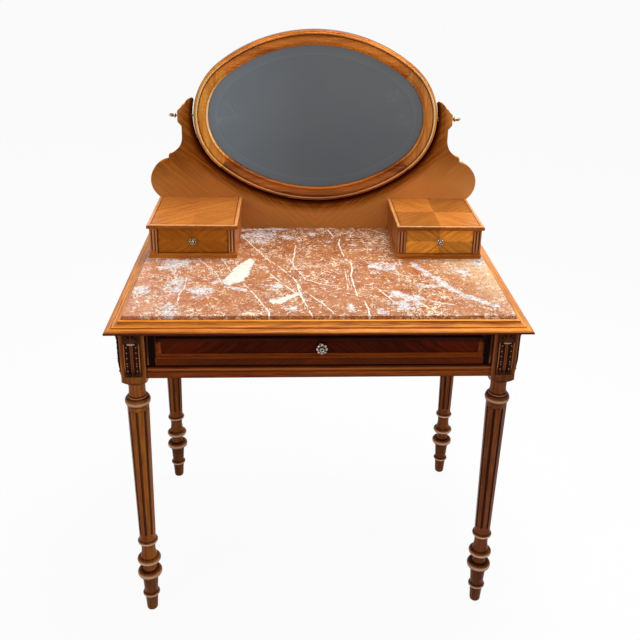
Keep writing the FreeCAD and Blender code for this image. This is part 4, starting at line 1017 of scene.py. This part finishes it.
def rosette(node, body):
    low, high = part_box(node)
    radius, length = (high.x - low.x) / 2, high.y - low.y
    centre = Vector(((low.x + high.x) / 2, high.y, (low.z + high.z) / 2))
    work = bmesh.new()
    rings, hollow = [], []
    for share, rise, petal, tarnish in KNOB_RINGS:
        ring = []
        for k in range(KNOB_ANGLES):
            turn = 2 * math.pi * (k + 0.5) / KNOB_ANGLES
            valley = 1 - abs(math.cos(PETALS / 2 * turn)) ** PETAL_ROUNDNESS
            r = radius * share * (1 - NOTCH * petal * valley)
            y = length * (rise - NOTCH_DROP * petal * valley)
            ring.append(work.verts.new(centre + Vector((r * math.cos(turn), -y, r * math.sin(turn)))))
            hollow.append(min(1.0, max(tarnish, petal * valley * NOTCH_TARNISH)))
        rings.append(ring)
    join_rings(work, rings)
    work.faces.new(rings[0])
    work.faces.new(rings[-1][::-1])
    mesh = mesh_from(work, node + "_rosette", smooth=True)
    mesh.attributes.new("hollow", "FLOAT", "POINT").data.foreach_set("value", hollow)
    mesh.materials.append(pewter)
    piece = new_object(node + "_rosette", mesh)
    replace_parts(piece, node)
    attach(piece, body)
    return piece


for body in ("main_drawer", "left_drawer", "right_drawer"):
    knob = rosette(body + "_knob", body)
    print(knob.name, "faces:", len(knob.data.polygons))

# %% [markdown]
# Pearls, leaves, screws and pins are the same piece many times over. Geometry Nodes set them out: every point
# of a small mesh is the start of a row, with its own turn and size, and the row's count and pitch are inputs
# of the group.

# %% Geometry Nodes group: pieces in rows
def row_group():
    tree = bpy.data.node_groups.new("pieces_in_rows", "GeometryNodeTree")
    tree.is_modifier = True
    sockets(tree, [("Starts", "Geometry", None), ("Piece", "Object", None), ("Count", "Int", 1),
                   ("Pitch", "Float", 0.006), ("Finish", "Material", None)], [("Pieces", "Geometry")])
    entry = add(tree, "NodeGroupInput")

    def field(name):
        return add(tree, "GeometryNodeInputNamedAttribute", {"Name": name},
                   data_type="FLOAT_VECTOR").outputs["Attribute"]

    step = add(tree, "ShaderNodeCombineXYZ", {2: times(tree, entry.outputs["Pitch"], -1.0)}).outputs[0]
    line = add(tree, "GeometryNodeMeshLine", {"Count": entry.outputs["Count"], "Offset": step}).outputs["Mesh"]
    turn = add(tree, "FunctionNodeEulerToRotation", {0: field("turn")}).outputs[0]
    rows = add(tree, "GeometryNodeInstanceOnPoints", {"Points": entry.outputs["Starts"], "Instance": line,
                                                      "Rotation": turn})
    points = add(tree, "GeometryNodeRealizeInstances", {0: rows.outputs[0]}).outputs[0]
    shape = add(tree, "GeometryNodeObjectInfo", {"Object": entry.outputs["Piece"]}).outputs["Geometry"]
    pieces = add(tree, "GeometryNodeInstanceOnPoints", {"Points": points, "Instance": shape, "Rotation": turn,
                                                        "Scale": field("size")})
    made = add(tree, "GeometryNodeRealizeInstances", {0: pieces.outputs[0]}).outputs[0]
    made = add(tree, "GeometryNodeSetMaterial", {"Geometry": made, "Material": entry.outputs["Finish"]}).outputs[0]
    add(tree, "NodeGroupOutput", {"Pieces": made})
    return tree


pieces_in_rows = row_group()
print("row group with", len(pieces_in_rows.nodes), "nodes")

# %% [markdown]
# A modifier's inputs are set by their identifiers, before the object is first evaluated. Then the result is
# made a plain mesh, the modifier goes, and the piece is given its body. The flat caps of screws and pins have
# many corners, so faces with nine corners or more stay flat and the others are smooth.

# %% Set out one kind of piece
FLAT_FROM_CORNERS = 9


def set_out(name, template, places, material, body, count=1, pitch=0.0):
    """Pieces at (place, turn, size) in metres, made into one plain mesh that rides on a body."""
    starts = bpy.data.meshes.new(name)
    starts.from_pydata([place for place, _, _ in places], [], [])
    for label, index in (("turn", 1), ("size", 2)):
        field = starts.attributes.new(label, "FLOAT_VECTOR", "POINT")
        field.data.foreach_set("vector", [c for row in places for c in row[index]])
    piece = new_object(name, starts)
    pattern = new_object(name + "_pattern", template)
    maker = piece.modifiers.new("rows", "NODES")
    maker.node_group = pieces_in_rows
    inputs = {"Piece": pattern, "Count": count, "Pitch": pitch, "Finish": material}
    for socket in pieces_in_rows.interface.items_tree:
        if socket.in_out == "INPUT" and socket.name in inputs:
            maker[socket.identifier] = inputs[socket.name]
    mesh = bpy.data.meshes.new_from_object(piece.evaluated_get(bpy.context.evaluated_depsgraph_get()))
    piece.modifiers.clear()
    piece.data = mesh
    bpy.data.objects.remove(pattern)
    mesh.name = name
    for face in mesh.polygons:
        face.use_smooth = len(face.vertices) < FLAT_FROM_CORNERS
    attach(piece, body)
    print(name, "faces:", len(mesh.polygons))
    return piece


# %% [markdown]
# The patterns are made once, at the origin: a pearl, a carved leaf with a ridge, a slotted screw head and a
# pin. The slot is cut by splitting the disc along two lines and pushing the middle strip in.

# %% Patterns
LEAF_ROWS, LEAF_SIDES = 12, 10
LEAF_FULLNESS, LEAF_THICKNESS, LEAF_RIDGE = 0.8, 0.6, 0.5
HEAD_DEPTH, SLOT_HALF, SLOT_DEPTH = 0.9, 0.13, 0.28
SHANK_LENGTH, SHANK_MIDDLE = 5.6, 3.7


def pearl(work):
    bmesh.ops.create_icosphere(work, subdivisions=3, radius=1.0)


def leaf(work):
    """One unit long upward, half a unit wide, with a ridge; the foot is at the origin."""
    rings = []
    for i in range(1, LEAF_ROWS):
        t = i / LEAF_ROWS
        wide = 0.5 * math.sin(math.pi * t ** LEAF_FULLNESS) ** LEAF_FULLNESS
        ring = []
        for k in range(LEAF_SIDES):
            turn = 2 * math.pi * k / LEAF_SIDES
            ridge = 1 + LEAF_RIDGE * abs(math.sin(turn)) ** 4
            ring.append(work.verts.new((wide * math.cos(turn), -wide * LEAF_THICKNESS * ridge * math.sin(turn), t)))
        rings.append(ring)
    foot, tip = work.verts.new((0, 0, 0)), work.verts.new((0, 0, 1))
    for lower, upper in zip(rings, rings[1:]):
        for k in range(LEAF_SIDES):
            n = (k + 1) % LEAF_SIDES
            work.faces.new((lower[k], lower[n], upper[n], upper[k]))
    for k in range(LEAF_SIDES):
        n = (k + 1) % LEAF_SIDES
        work.faces.new((foot, rings[0][n], rings[0][k]))
        work.faces.new((tip, rings[-1][k], rings[-1][n]))


def screw_head(work):
    """A countersunk head of unit radius facing +Y, with a slot; the face is at the origin."""
    def cone(corners, inner, outer, depth, middle):
        made = bmesh.ops.create_cone(work, segments=corners, radius1=inner, radius2=outer, depth=depth, cap_ends=True)
        bmesh.ops.rotate(work, verts=made["verts"], matrix=Matrix.Rotation(-math.pi / 2, 3, "X"))
        bmesh.ops.translate(work, verts=made["verts"], vec=(0, -middle, 0))

    cone(32, 0.5, 1.0, HEAD_DEPTH, HEAD_DEPTH / 2)
    for side in (-SLOT_HALF, SLOT_HALF):
        whole = work.verts[:] + work.edges[:] + work.faces[:]
        bmesh.ops.bisect_plane(work, geom=whole, plane_co=(side, 0, 0), plane_no=(1, 0, 0))
    strip = [f for f in work.faces if f.normal.y > 0.9 and abs(f.calc_center_median().x) < 0.1]
    for face in bmesh.ops.extrude_discrete_faces(work, faces=strip)["faces"]:
        bmesh.ops.translate(work, verts=face.verts, vec=(0, -SLOT_DEPTH, 0))
    cone(16, 0.5, 0.5, SHANK_LENGTH, SHANK_MIDDLE)


def pin(work):
    """A pin one unit long and one unit thick, standing on the origin."""
    bmesh.ops.create_cone(work, segments=12, radius1=0.5, radius2=0.5, depth=1.0, cap_ends=True,
                          matrix=Matrix.Translation((0, 0, 0.5)))


patterns = {}
for make in (pearl, leaf, screw_head, pin):
    work = bmesh.new()
    make(work)
    patterns[make.__name__] = mesh_from(work, make.__name__)
print("patterns:", {name: len(mesh.polygons) for name, mesh in patterns.items()})

# %% [markdown]
# Four plaques dress the two front legs, on the front face and on the outer side. Places on a plaque are given
# as (across, out, up) in millimetres, and a turn about the upright brings them to each face. The lowest part
# of a plaque thins towards its foot, so what sits there follows that slope.

# %% Places on the plaques
PLAQUE_TURNS = [(-1, "front", 0.0), (1, "front", 0.0), (-1, "side", -math.pi / 2), (1, "side", math.pi / 2)]
PLAQUE_THICKNESS, PLAQUE_SINK = 6.0, 2.0
TAPER_HEIGHT, TAPER_DROP = 30.0, 3.4
leg_low, leg_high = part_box("front_right_leg")
leg_x, leg_y = (leg_low.x + leg_high.x) / 2, (leg_low.y + leg_high.y) / 2
block_half = (leg_high.x - leg_low.x) / 2
taper = math.atan(TAPER_DROP / TAPER_HEIGHT)
foot_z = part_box("block_plaques")[0].z / MM
field_level = PLAQUE_THICKNESS - PLAQUE_SINK


def on_plaques(points):
    """Turns (across, out, up, tilt, lean, size) on a plaque into places on all four plaques."""
    out = []
    for sign, face, turn in PLAQUE_TURNS:
        base = Vector((sign * leg_x, leg_y - block_half, 0)) if face == "front" else \
            Vector((sign * (leg_x + block_half), leg_y, 0))
        for across, outward, up, tilt, lean, size in points:
            place = Matrix.Rotation(turn, 3, "Z") @ Vector((across * MM, -outward * MM, up * MM)) + base
            out.append((tuple(place), (tilt, lean, turn), tuple(c * MM for c in size)))
    return out


print("plaques stand", round(block_half / MM, 1), "mm out from the middle of the leg")

# %% [markdown]
# In the sunk field of each plaque run two rows in which pearls and flat spacers take turns. Each row is set
# out in four steps: pearls and spacers on the upright part, and again on the slope at the foot. A start lies
# so many pitches above or below the point where the slope begins.

# %% Pearls and spacers
PEARL_RADIUS, PEARL_PITCH, PEARL_SHIFT = 1.8, 6.1, 9.4
ball = (PEARL_RADIUS, PEARL_RADIUS, PEARL_RADIUS)
spacer = (PEARL_RADIUS * 0.8, PEARL_RADIUS * 0.55, PEARL_RADIUS * 0.6)
# The pearls are paler than the plaque, partly as painted highlights.
pearl_wood = wood("pearl_walnut", shade(178, 118, 80), shade(124, 68, 40), "Z", gloss=0.14, shine=0.26)
spacer_wood = wood("spacer_walnut", shade(110, 56, 34), shade(76, 34, 18), "Z", gloss=0.2, shine=0.2)
PEARL_ROWS = {
    "pearls_upper": {"pitches": 6.6, "out": 0.3, "tilt": 0.0, "size": ball, "wood": pearl_wood, "count": 4},
    "spacers_upper": {"pitches": 5.6, "out": 0.3, "tilt": 0.0, "size": spacer, "wood": spacer_wood, "count": 3},
    "pearls_lower": {"pitches": -0.4, "out": 0.2, "tilt": taper, "size": ball, "wood": pearl_wood, "count": 2},
    "spacers_lower": {"pitches": -1.4, "out": -0.5, "tilt": taper, "size": spacer, "wood": spacer_wood, "count": 2},
}

for name, row in PEARL_ROWS.items():
    up = foot_z + TAPER_HEIGHT + PEARL_PITCH * row["pitches"]
    starts = [(side * PEARL_SHIFT, field_level + row["out"], up, row["tilt"], 0.0, row["size"]) for side in (-1, 1)]
    set_out(name, patterns["pearl"], on_plaques(starts), row["wood"], "carcase", row["count"],
            PEARL_PITCH * 2 * MM)

# %% [markdown]
# At the top of each plaque a cup of five leaves fans out over a small bar, and a row of five small leaves lies on the
# slope at the foot. The bar is pale, as a painted highlight with some wear.

# %% Bars and carved leaves
BAR_HEIGHT, BAR_SIZE = 77.5, (8.4, 1.9, 1.7)
CUP_HEIGHT, CUP_LEAF = 79.5, (6.2, 4.2)
CUP_LEAVES = ((-58, 15), (-30, 18), (0, 21), (30, 18), (58, 15))
FOOT_HEIGHT, FOOT_LEAF = 3.6, (3.4, 4.0, 6.5)
FOOT_LEAVES = (-10.5, -5.6, 0, 5.6, 10.5)
FAN = 3

# The bar's pale colour is a painted highlight, with some wear.
bar_wood = wood("bar_walnut_highlit", shade(226, 186, 156), shade(184, 138, 108), "X", gloss=0.2, shine=0.3)
carved = wood("carved_walnut", shade(92, 46, 20), shade(50, 22, 8), "Z", gloss=0.26, shine=0.08)
bars = [(0.0, PLAQUE_THICKNESS + 0.2, foot_z + BAR_HEIGHT, 0.0, 0.0, BAR_SIZE)]
leaves = [(0.0, PLAQUE_THICKNESS, foot_z + CUP_HEIGHT, 0.0, math.radians(lean), (*CUP_LEAF, long))
          for lean, long in CUP_LEAVES]
leaves += [(across, field_level - 2.0, foot_z + FOOT_HEIGHT, taper, math.radians(across * FAN), FOOT_LEAF)
           for across in FOOT_LEAVES]
set_out("plaque_bars", patterns["pearl"], on_plaques(bars), bar_wood, "carcase")
set_out("plaque_leaves", patterns["leaf"], on_plaques(leaves), carved, "carcase")

# %% [markdown]
# Nobody sees the back, but it is there: twelve slotted screws hold the battens, each slot left at its own
# angle.

# %% Screws
SCREW_HEIGHTS = [653, 682.75, 712.5, 775.5, 855.75, 936]
SCREW_ACROSS = 320
SCREW_RADIUS = 4.0
SLOT_TURN = 2.4
screw_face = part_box("batten_screws")[1].y
screws = []
for sign in (-1, 1):
    for height in SCREW_HEIGHTS:
        spot = (sign * SCREW_ACROSS * MM, screw_face, height * MM)
        screws.append((spot, (0, len(screws) * SLOT_TURN, 0), (SCREW_RADIUS * MM,) * 3))
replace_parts(set_out("slotted_screws", patterns["screw_head"], screws, steel, "carcase"), "batten_screws")

# %% [markdown]
# Sixteen small pins hold the backboard in the rebate of the mirror's frame. They stand at even angles, each on
# whichever of the oval's arcs its angle meets.

# %% Pins
PINS = 16
PIN_INSET = 40.0
PIN_SIZE = (1.3, 1.3, 11.0)
back_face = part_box("mirror_backboard")[1].y
end_half = math.atan2(far_centre, end_centre)
pins = []
for k in range(PINS):
    turn = 2 * math.pi * (k + 0.5) / PINS
    across, up = math.cos(turn), math.sin(turn)
    if abs(math.atan2(up, abs(across))) < end_half:
        x, z = math.copysign(end_centre, across) + (end_radius - PIN_INSET) * across, (end_radius - PIN_INSET) * up
    else:
        x, z = (far_radius - PIN_INSET) * across, (far_radius - PIN_INSET) * up - math.copysign(far_centre, up)
    pins.append(((x * MM, back_face + PIN_SIZE[0] / 2 * MM, (z + oval_middle) * MM), (0, math.pi / 2 - turn, 0),
                 tuple(c * MM for c in PIN_SIZE)))
set_out("backboard_pins", patterns["pin"], pins, steel, "mirror")

# %% [markdown]
# The slab is the largest thing in view, and its veins are what the eye remembers. A noise texture alone gives
# a marble, but not this one. So the slab gets a mesh of its own that carries drawn fields: how far each point
# lies to the left or right of the nearest vein, how wide that vein is, how far the nearest cream patch is,
# and how near a grey cloud is. The routes are a few points each, in mm from the middle and from the front
# edge. The shader breaks their edges up with noise.

# %% The slab's veins, patches and clouds
VEINS = [
    (1.6, [(-191, 505), (-150, 408), (-118, 335), (-88, 285), (-54, 216), (-40, 160), (-24, 136), (10, 75), (23, 46)]),
    (1.3, [(-126, 284), (-87, 201), (-52, 141)]),
    (1.8, [(-164, 190), (-139, 131), (-106, 43), (-106, 33)]),
    (1.5, [(-50, 423), (-57, 329), (-56, 291), (-29, 214), (5, 190), (33, 181)]),
    (0.9, [(-74, 361), (-60, 310)]),
    (2.2, [(-52, 213), (-41, 125), (-23, 41), (-21, 31)]),
    (2.4, [(31, 547), (45, 490)]),
    (1.8, [(59, 467), (55, 429), (63, 356)]),
    (2.0, [(78, 311), (79, 279), (72, 238), (76, 163), (78, 131)]),
    (0.9, [(61, 261), (61, 168)]),
    (1.6, [(91, 100), (96, 60), (96, 30)]),
    (1.2, [(-277, 333), (-232, 257), (-211, 185)]),
    (1.8, [(-224, 337), (-195, 257)]),
    (1.5, [(-292, 220), (-290, 185), (-298, 128), (-296, 96)]),
    (1.0, [(122, 561), (184, 503)]),
    (2.0, [(205, 97), (236, 47)]),
    (1.6, [(129, 159), (154, 97)]),
    (2.4, [(172, 252), (204, 230)]),
    (2.2, [(235, 101), (257, 89), (278, 83)]),
]
STREAKS = [
    (6.0, [(221, 308), (242, 258), (273, 200), (302, 134), (344, 97), (370, 77)]),
    (5.0, [(216, 189), (242, 179), (281, 181)]),
    (6.0, [(-186, 532), (-132, 540), (-78, 541)]),
    (4.0, [(-202, 175), (-157, 151)]),
]
PATCHES = [
    [(-213, 190), (-196, 267), (-174, 315), (-158, 340), (-148, 324), (-156, 246), (-172, 205), (-197, 182)],
    [(-110, 105), (-98, 91), (-86, 90), (-60, 115), (-43, 136), (-56, 141), (-86, 115)],
]
CLOUDS = [
    ((-325, 310), 34), ((-306, 74), 16), ((-309, 40), 14), ((-316, 161), 18), ((-304, 201), 20), ((-254, 151), 20),
    ((-228, 200), 9), ((-142, 495), 34), ((-75, 484), 12), ((-7, 501), 8), ((88, 429), 8), ((35, 453), 8),
    ((138, 290), 20), ((163, 286), 18), ((328, 258), 20), ((164, 134), 16), ((194, 115), 22), ((169, 79), 22),
    ((123, 50), 10), ((386, 321), 22), ((-97, 175), 16), ((-380, 155), 18), ((58, 67), 12), ((-62, 65), 12),
]
print("veins", len(VEINS), "streaks", len(STREAKS), "patches", len(PATCHES), "clouds", len(CLOUDS))

# %% [markdown]
# Two measures turn the routes into fields, for all points of the slab at once. One is the distance to a
# route, and the side on which a point lies. The other is the distance to a closed outline, negative inside.

# %% Distances to routes and outlines
FAR_AWAY = 1e9


def route_fields(x, d, route):
    """For arrays of points: the distance to a route of straight runs, and the side on which they lie."""
    best = np.full(x.shape, FAR_AWAY)
    side = np.ones(x.shape)
    for (x0, d0), (x1, d1) in zip(route, route[1:]):
        run = (x1 - x0) ** 2 + (d1 - d0) ** 2
        t = np.clip(((x - x0) * (x1 - x0) + (d - d0) * (d1 - d0)) / run, 0, 1)
        away = np.hypot(x - x0 - t * (x1 - x0), d - d0 - t * (d1 - d0))
        nearer = away < best
        cross = (x1 - x0) * (d - d0) - (d1 - d0) * (x - x0)
        side = np.where(nearer, np.where(cross < 0, -1.0, 1.0), side)
        best = np.minimum(best, away)
    return best, side


def patch_field(x, d, outline):
    """The distance to an outline, negative inside it."""
    closed = outline + outline[:1]
    inside = np.zeros(x.shape, bool)
    for (x0, d0), (x1, d1) in zip(closed, closed[1:]):
        if d0 != d1:
            inside ^= ((d0 > d) != (d1 > d)) & (x < (x1 - x0) * (d - d0) / (d1 - d0) + x0)
    return np.where(inside, -1.0, 1.0) * route_fields(x, d, closed)[0]


origin = np.zeros(1)
print("the origin lies", round(float(patch_field(origin, origin, PATCHES[1])[0]), 1), "mm from the second patch")

# %% [markdown]
# The slab's own mesh is a fine grid on top, a rounded arris, plain sides and a plain underside. Its rim is
# walked once round, and each further ring of the arris moves the rim out and down.

# %% The slab's mesh
GRID_STEP = 3.0
ARRIS = 1.6 * MM
ARRIS_STEPS = 4


def slab_mesh(low, high):
    columns, rows = (round(length / MM / GRID_STEP) for length in (high.x - low.x, high.y - low.y))
    inner = (high.x - low.x - 2 * ARRIS, high.y - low.y - 2 * ARRIS)
    work = bmesh.new()
    grid = [[work.verts.new((low.x + ARRIS + inner[0] * i / columns, low.y + ARRIS + inner[1] * j / rows, high.z))
             for i in range(columns + 1)] for j in range(rows + 1)]
    for j in range(rows):
        for i in range(columns):
            work.faces.new((grid[j][i], grid[j][i + 1], grid[j + 1][i + 1], grid[j + 1][i]))
    rim = grid[0][:] + [row[-1] for row in grid[1:]] + grid[-1][-2::-1] + [row[0] for row in grid[-2:0:-1]]
    centre = ((low.x + high.x) / 2, (low.y + high.y) / 2)

    def ring(outward, drop):
        made = []
        for v in rim:
            place = list(v.co[:2])
            for axis in (0, 1):
                off = place[axis] - centre[axis]
                if abs(abs(off) - inner[axis] / 2) < MM / 10:
                    place[axis] += math.copysign(outward, off)
            made.append(work.verts.new((*place, high.z - drop)))
        return made

    rings = [rim]
    for k in range(1, ARRIS_STEPS + 1):
        turn = math.pi / 2 * k / ARRIS_STEPS
        rings.append(ring(ARRIS * math.sin(turn), ARRIS * (1 - math.cos(turn))))
    rings.append(ring(ARRIS, high.z - low.z))
    join_rings(work, rings)
    work.faces.new(rings[-1][::-1])
    return mesh_from(work, "marble_slab", smooth=True)


slab = new_object("marble_slab", slab_mesh(marble_low, marble_high))
print("slab:", len(slab.data.polygons), "faces")

# %% [markdown]
# Now every point of the slab gets its fields. Where two veins are near, the one whose edge is nearer counts.
# A cloud is a blot with a reach, a little longer from front to back, and a streak is a long thin cloud.

# %% The slab's fields
CLOUD_STRETCH = 0.8
STREAK_SHARE = 0.7
NO_CLOUD = 9.0
VEIN_REACH = 40

spots = np.empty(len(slab.data.vertices) * 3)
slab.data.vertices.foreach_get("co", spots)
spot_x, spot_d = spots[0::3] / MM, (spots[1::3] - front_edge) / MM
vein = np.full(spot_x.shape, FAR_AWAY)
across_vein, vein_half = vein.copy(), np.zeros(vein.shape)
for width, route in VEINS:
    away, side = route_fields(spot_x, spot_d, route)
    nearer = away - width < vein - vein_half
    across_vein = np.where(nearer, away * side, across_vein)
    vein_half = np.where(nearer, width, vein_half)
    vein = np.where(nearer, away, vein)
cloud = np.full(spot_x.shape, NO_CLOUD)
for (x, d), reach in CLOUDS:
    cloud = np.minimum(cloud, np.hypot(spot_x - x, (spot_d - d) * CLOUD_STRETCH) / reach)
for width, route in STREAKS:
    cloud = np.minimum(cloud, route_fields(spot_x, spot_d, route)[0] / width * STREAK_SHARE)
fields = {"vein": vein, "across_vein": np.clip(across_vein, -VEIN_REACH, VEIN_REACH), "vein_half": vein_half,
          "cloud": cloud, "patch": np.minimum.reduce([patch_field(spot_x, spot_d, p) for p in PATCHES])}
for name, values in fields.items():
    slab.data.attributes.new(name, "FLOAT", "POINT").data.foreach_set("value", values)
print("fields:", {name: (round(values.min(), 1), round(values.max(), 1)) for name, values in fields.items()})

# %% [markdown]
# The stone is terracotta, pinker at the left and paler and yellower at the back right, and the whole of it is painted
# browner and darker towards the back, as the shade of the board and the mirror. Small cream fossils curl across it
# everywhere, each with a dark edge: they are drawn where a noise crosses its middle value, which gives thin closed
# curls, and another noise breaks them up. Over that come grey clouds with dark cracks, warm white veins and cream
# patches, each by its own mask.

# %% Marble: values
STONE = {
    "dark": shade(154, 82, 38), "body": shade(174, 104, 52), "pale": shade(192, 132, 82),
    "left": shade(220, 152, 124), "corner": shade(234, 200, 152), "rear": (0.70, 0.60, 0.48, 1),
    "mottle_dark": shade(140, 64, 32), "mottle_pale": shade(214, 166, 120), "curl_edge": shade(116, 56, 34),
    "cream": shade(230, 210, 184), "dot_dark": shade(120, 54, 28), "grey": shade(178, 168, 166),
    "grey_pale": shade(232, 226, 222), "crack": shade(112, 74, 58), "vein": shade(226, 219, 202),
    "vein_edge": shade(140, 84, 62), "patch_edge": shade(144, 98, 78), "patch": shade(222, 222, 208),
    "patch_stain": shade(206, 202, 190),
}
STONE_NOISES = {
    "body": (30.0, 5.0, 0.6, 0.6), "gathered": (14.0, 2.0), "spread": (48.0, 3.0, 0.6),
    "mottle": (95.0, 3.0, 0.7, 0.6), "curl": (74.0, 2.0, 0.6, 1.4), "fleck": (108.0, 2.0, 0.6, 0.8),
    "dots": (280.0, 2.0, 0.6), "shake": (150.0, 4.0), "broad": (42.0, 4.0, 0.6), "cloud": (110.0, 3.0, 0.6, 1.2),
    "crack": (60.0, 4.0, 0.65, 1.0), "swell": (70.0, 2.0), "stain": (60.0, 4.0, 0.6),
}
print("colours in the stone:", len(STONE), "noises:", len(STONE_NOISES))

# %% [markdown]
# The material is built up in layers, each by a mask over the colour so far, as the stone itself grew: first
# the ground, then the fossils and flecks, then what filled its cracks.

# %% Marble: layers
def coloured(tree, colour, mask, name):
    """The colour so far, with one of the stone's colours where the mask is."""
    return colours(tree, mask, colour, STONE[name])


def line_where(tree, value, middle, outer, inner):
    """A thin line where a noise crosses a value."""
    return steps(tree, apart(tree, value, middle), outer, inner)


def ground(tree, place, noises):
    """The terracotta ground, with its change of colour over the slab and painted shade towards the back."""
    x, y, _ = parts(tree, place)
    colour = colours(tree, steps(tree, noises["body"], 0.34, 0.52), STONE["dark"], STONE["body"])
    colour = coloured(tree, colour, steps(tree, noises["body"], 0.52, 0.72), "pale")
    colour = coloured(tree, colour, steps(tree, x, -0.1, -0.38, 0.0, 0.35), "left")
    corner = sums(tree, "MULTIPLY_ADD", y, 0.5, x)
    colour = coloured(tree, colour, steps(tree, corner, 0.22, 0.40, 0.0, 0.75), "corner")
    # Painted shade towards the back, under the board and the mirror.
    return colours(tree, steps(tree, y, 0.02, 0.22), colour, colours(tree, 1.0, colour, STONE["rear"], "MULTIPLY"))


def fossils(tree, colour, noises):
    """Mottles, curls with dark edges, flecks and dots; they gather in some places."""
    some = sums(tree, "MULTIPLY_ADD", noises["gathered"], 0.6, noises["spread"])
    colour = coloured(tree, colour, steps(tree, noises["mottle"], 0.46, 0.36, 0.0, 0.5), "mottle_dark")
    colour = coloured(tree, colour, steps(tree, noises["mottle"], 0.57, 0.66, 0.0, 0.3), "mottle_pale")
    edge = line_where(tree, noises["curl"], 0.565, 0.03, 0.012)
    colour = coloured(tree, colour, times(tree, edge, steps(tree, some, 0.70, 0.95, 0.35, 0.85)), "curl_edge")
    curl = line_where(tree, noises["curl"], 0.5, 0.045, 0.02)
    colour = coloured(tree, colour, times(tree, curl, steps(tree, some, 0.73, 0.95, 0.16, 0.95)), "cream")
    over = less(tree, noises["fleck"], steps(tree, some, 0.65, 1.0, 0.64, 0.57))
    colour = coloured(tree, colour, steps(tree, over, 0.0, 0.025, 0.0, 0.95), "cream")
    colour = coloured(tree, colour, steps(tree, noises["dots"], 0.62, 0.7, 0.0, 0.25), "cream")
    return coloured(tree, colour, steps(tree, noises["dots"], 0.4, 0.33, 0.0, 0.35), "dot_dark")


def fillings(tree, colour, noises):
    """Grey clouds with cracks, white veins and cream patches, from the fields that the slab carries."""
    vein, across_vein, vein_half, cloud, patch = (
        add(tree, "ShaderNodeAttribute", attribute_name=name).outputs["Fac"] for name in fields)
    shake, broad = (less(tree, noises[name], 0.5) for name in ("shake", "broad"))
    cloud = sums(tree, "ADD", cloud, sums(tree, "MULTIPLY_ADD", shake, 3.0, times(tree, broad, 4.4)))
    grey = colours(tree, steps(tree, noises["cloud"], 0.42, 0.56), STONE["grey"], STONE["grey_pale"])
    colour = colours(tree, steps(tree, cloud, 1.2, 0.6, 0.0, 0.92), colour, grey)
    crack = line_where(tree, noises["crack"], 0.5, 0.018, 0.004)
    colour = coloured(tree, colour, times(tree, crack, steps(tree, cloud, 3.0, 0.9, 0.12, 0.7)), "crack")
    wavy = sums(tree, "MULTIPLY_ADD", broad, 9.0, times(tree, shake, 5.0))
    offset = sums(tree, "ABSOLUTE", sums(tree, "ADD", across_vein, wavy))
    outside = less(tree, offset, sums(tree, "MULTIPLY_ADD", vein_half, 0.5, 0.4))
    line = sums(tree, "MAXIMUM", outside, less(tree, vein, 9.0))
    line = sums(tree, "ADD", line, steps(tree, noises["swell"], 0.48, 0.7, 0.0, 1.5))
    colour = coloured(tree, colour, steps(tree, line, 1.9, 0.5, 0.0, 0.5), "vein_edge")
    colour = coloured(tree, colour, steps(tree, line, 0.7, 0.0), "vein")
    patch = sums(tree, "ADD", patch, sums(tree, "MULTIPLY_ADD", shake, 14.0, times(tree, broad, 22.0)))
    colour = coloured(tree, colour, steps(tree, patch, 4.5, 1.5, 0.0, 0.45), "patch_edge")
    cream = colours(tree, steps(tree, noises["stain"], 0.46, 0.66), STONE["patch"], STONE["patch_stain"])
    return colours(tree, steps(tree, patch, 2.0, -1.6), colour, cream)


def marble():
    material, tree, shader = new_material("red_marble")
    place = object_place(tree)
    noises = {name: noise(tree, place, *settings) for name, settings in STONE_NOISES.items()}
    colour = fillings(tree, fossils(tree, ground(tree, place, noises), noises), noises)
    tree.links.new(colour, shader.inputs["Base Color"])
    set_inputs(shader, Roughness=0.22, Specular_IOR_Level=0.2)
    return material


slab.data.materials.append(marble())
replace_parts(slab, "marble_top")
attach(slab, "carcase")
print("nodes in the marble:", len(slab.data.materials[0].node_tree.nodes))

# %% [markdown]
# At the end, the number of solid-model parts that were given a finish is printed beside the number of all parts.

# %% Finish
print("CAD nodes finished:", len(finished), "of", len(nodes))
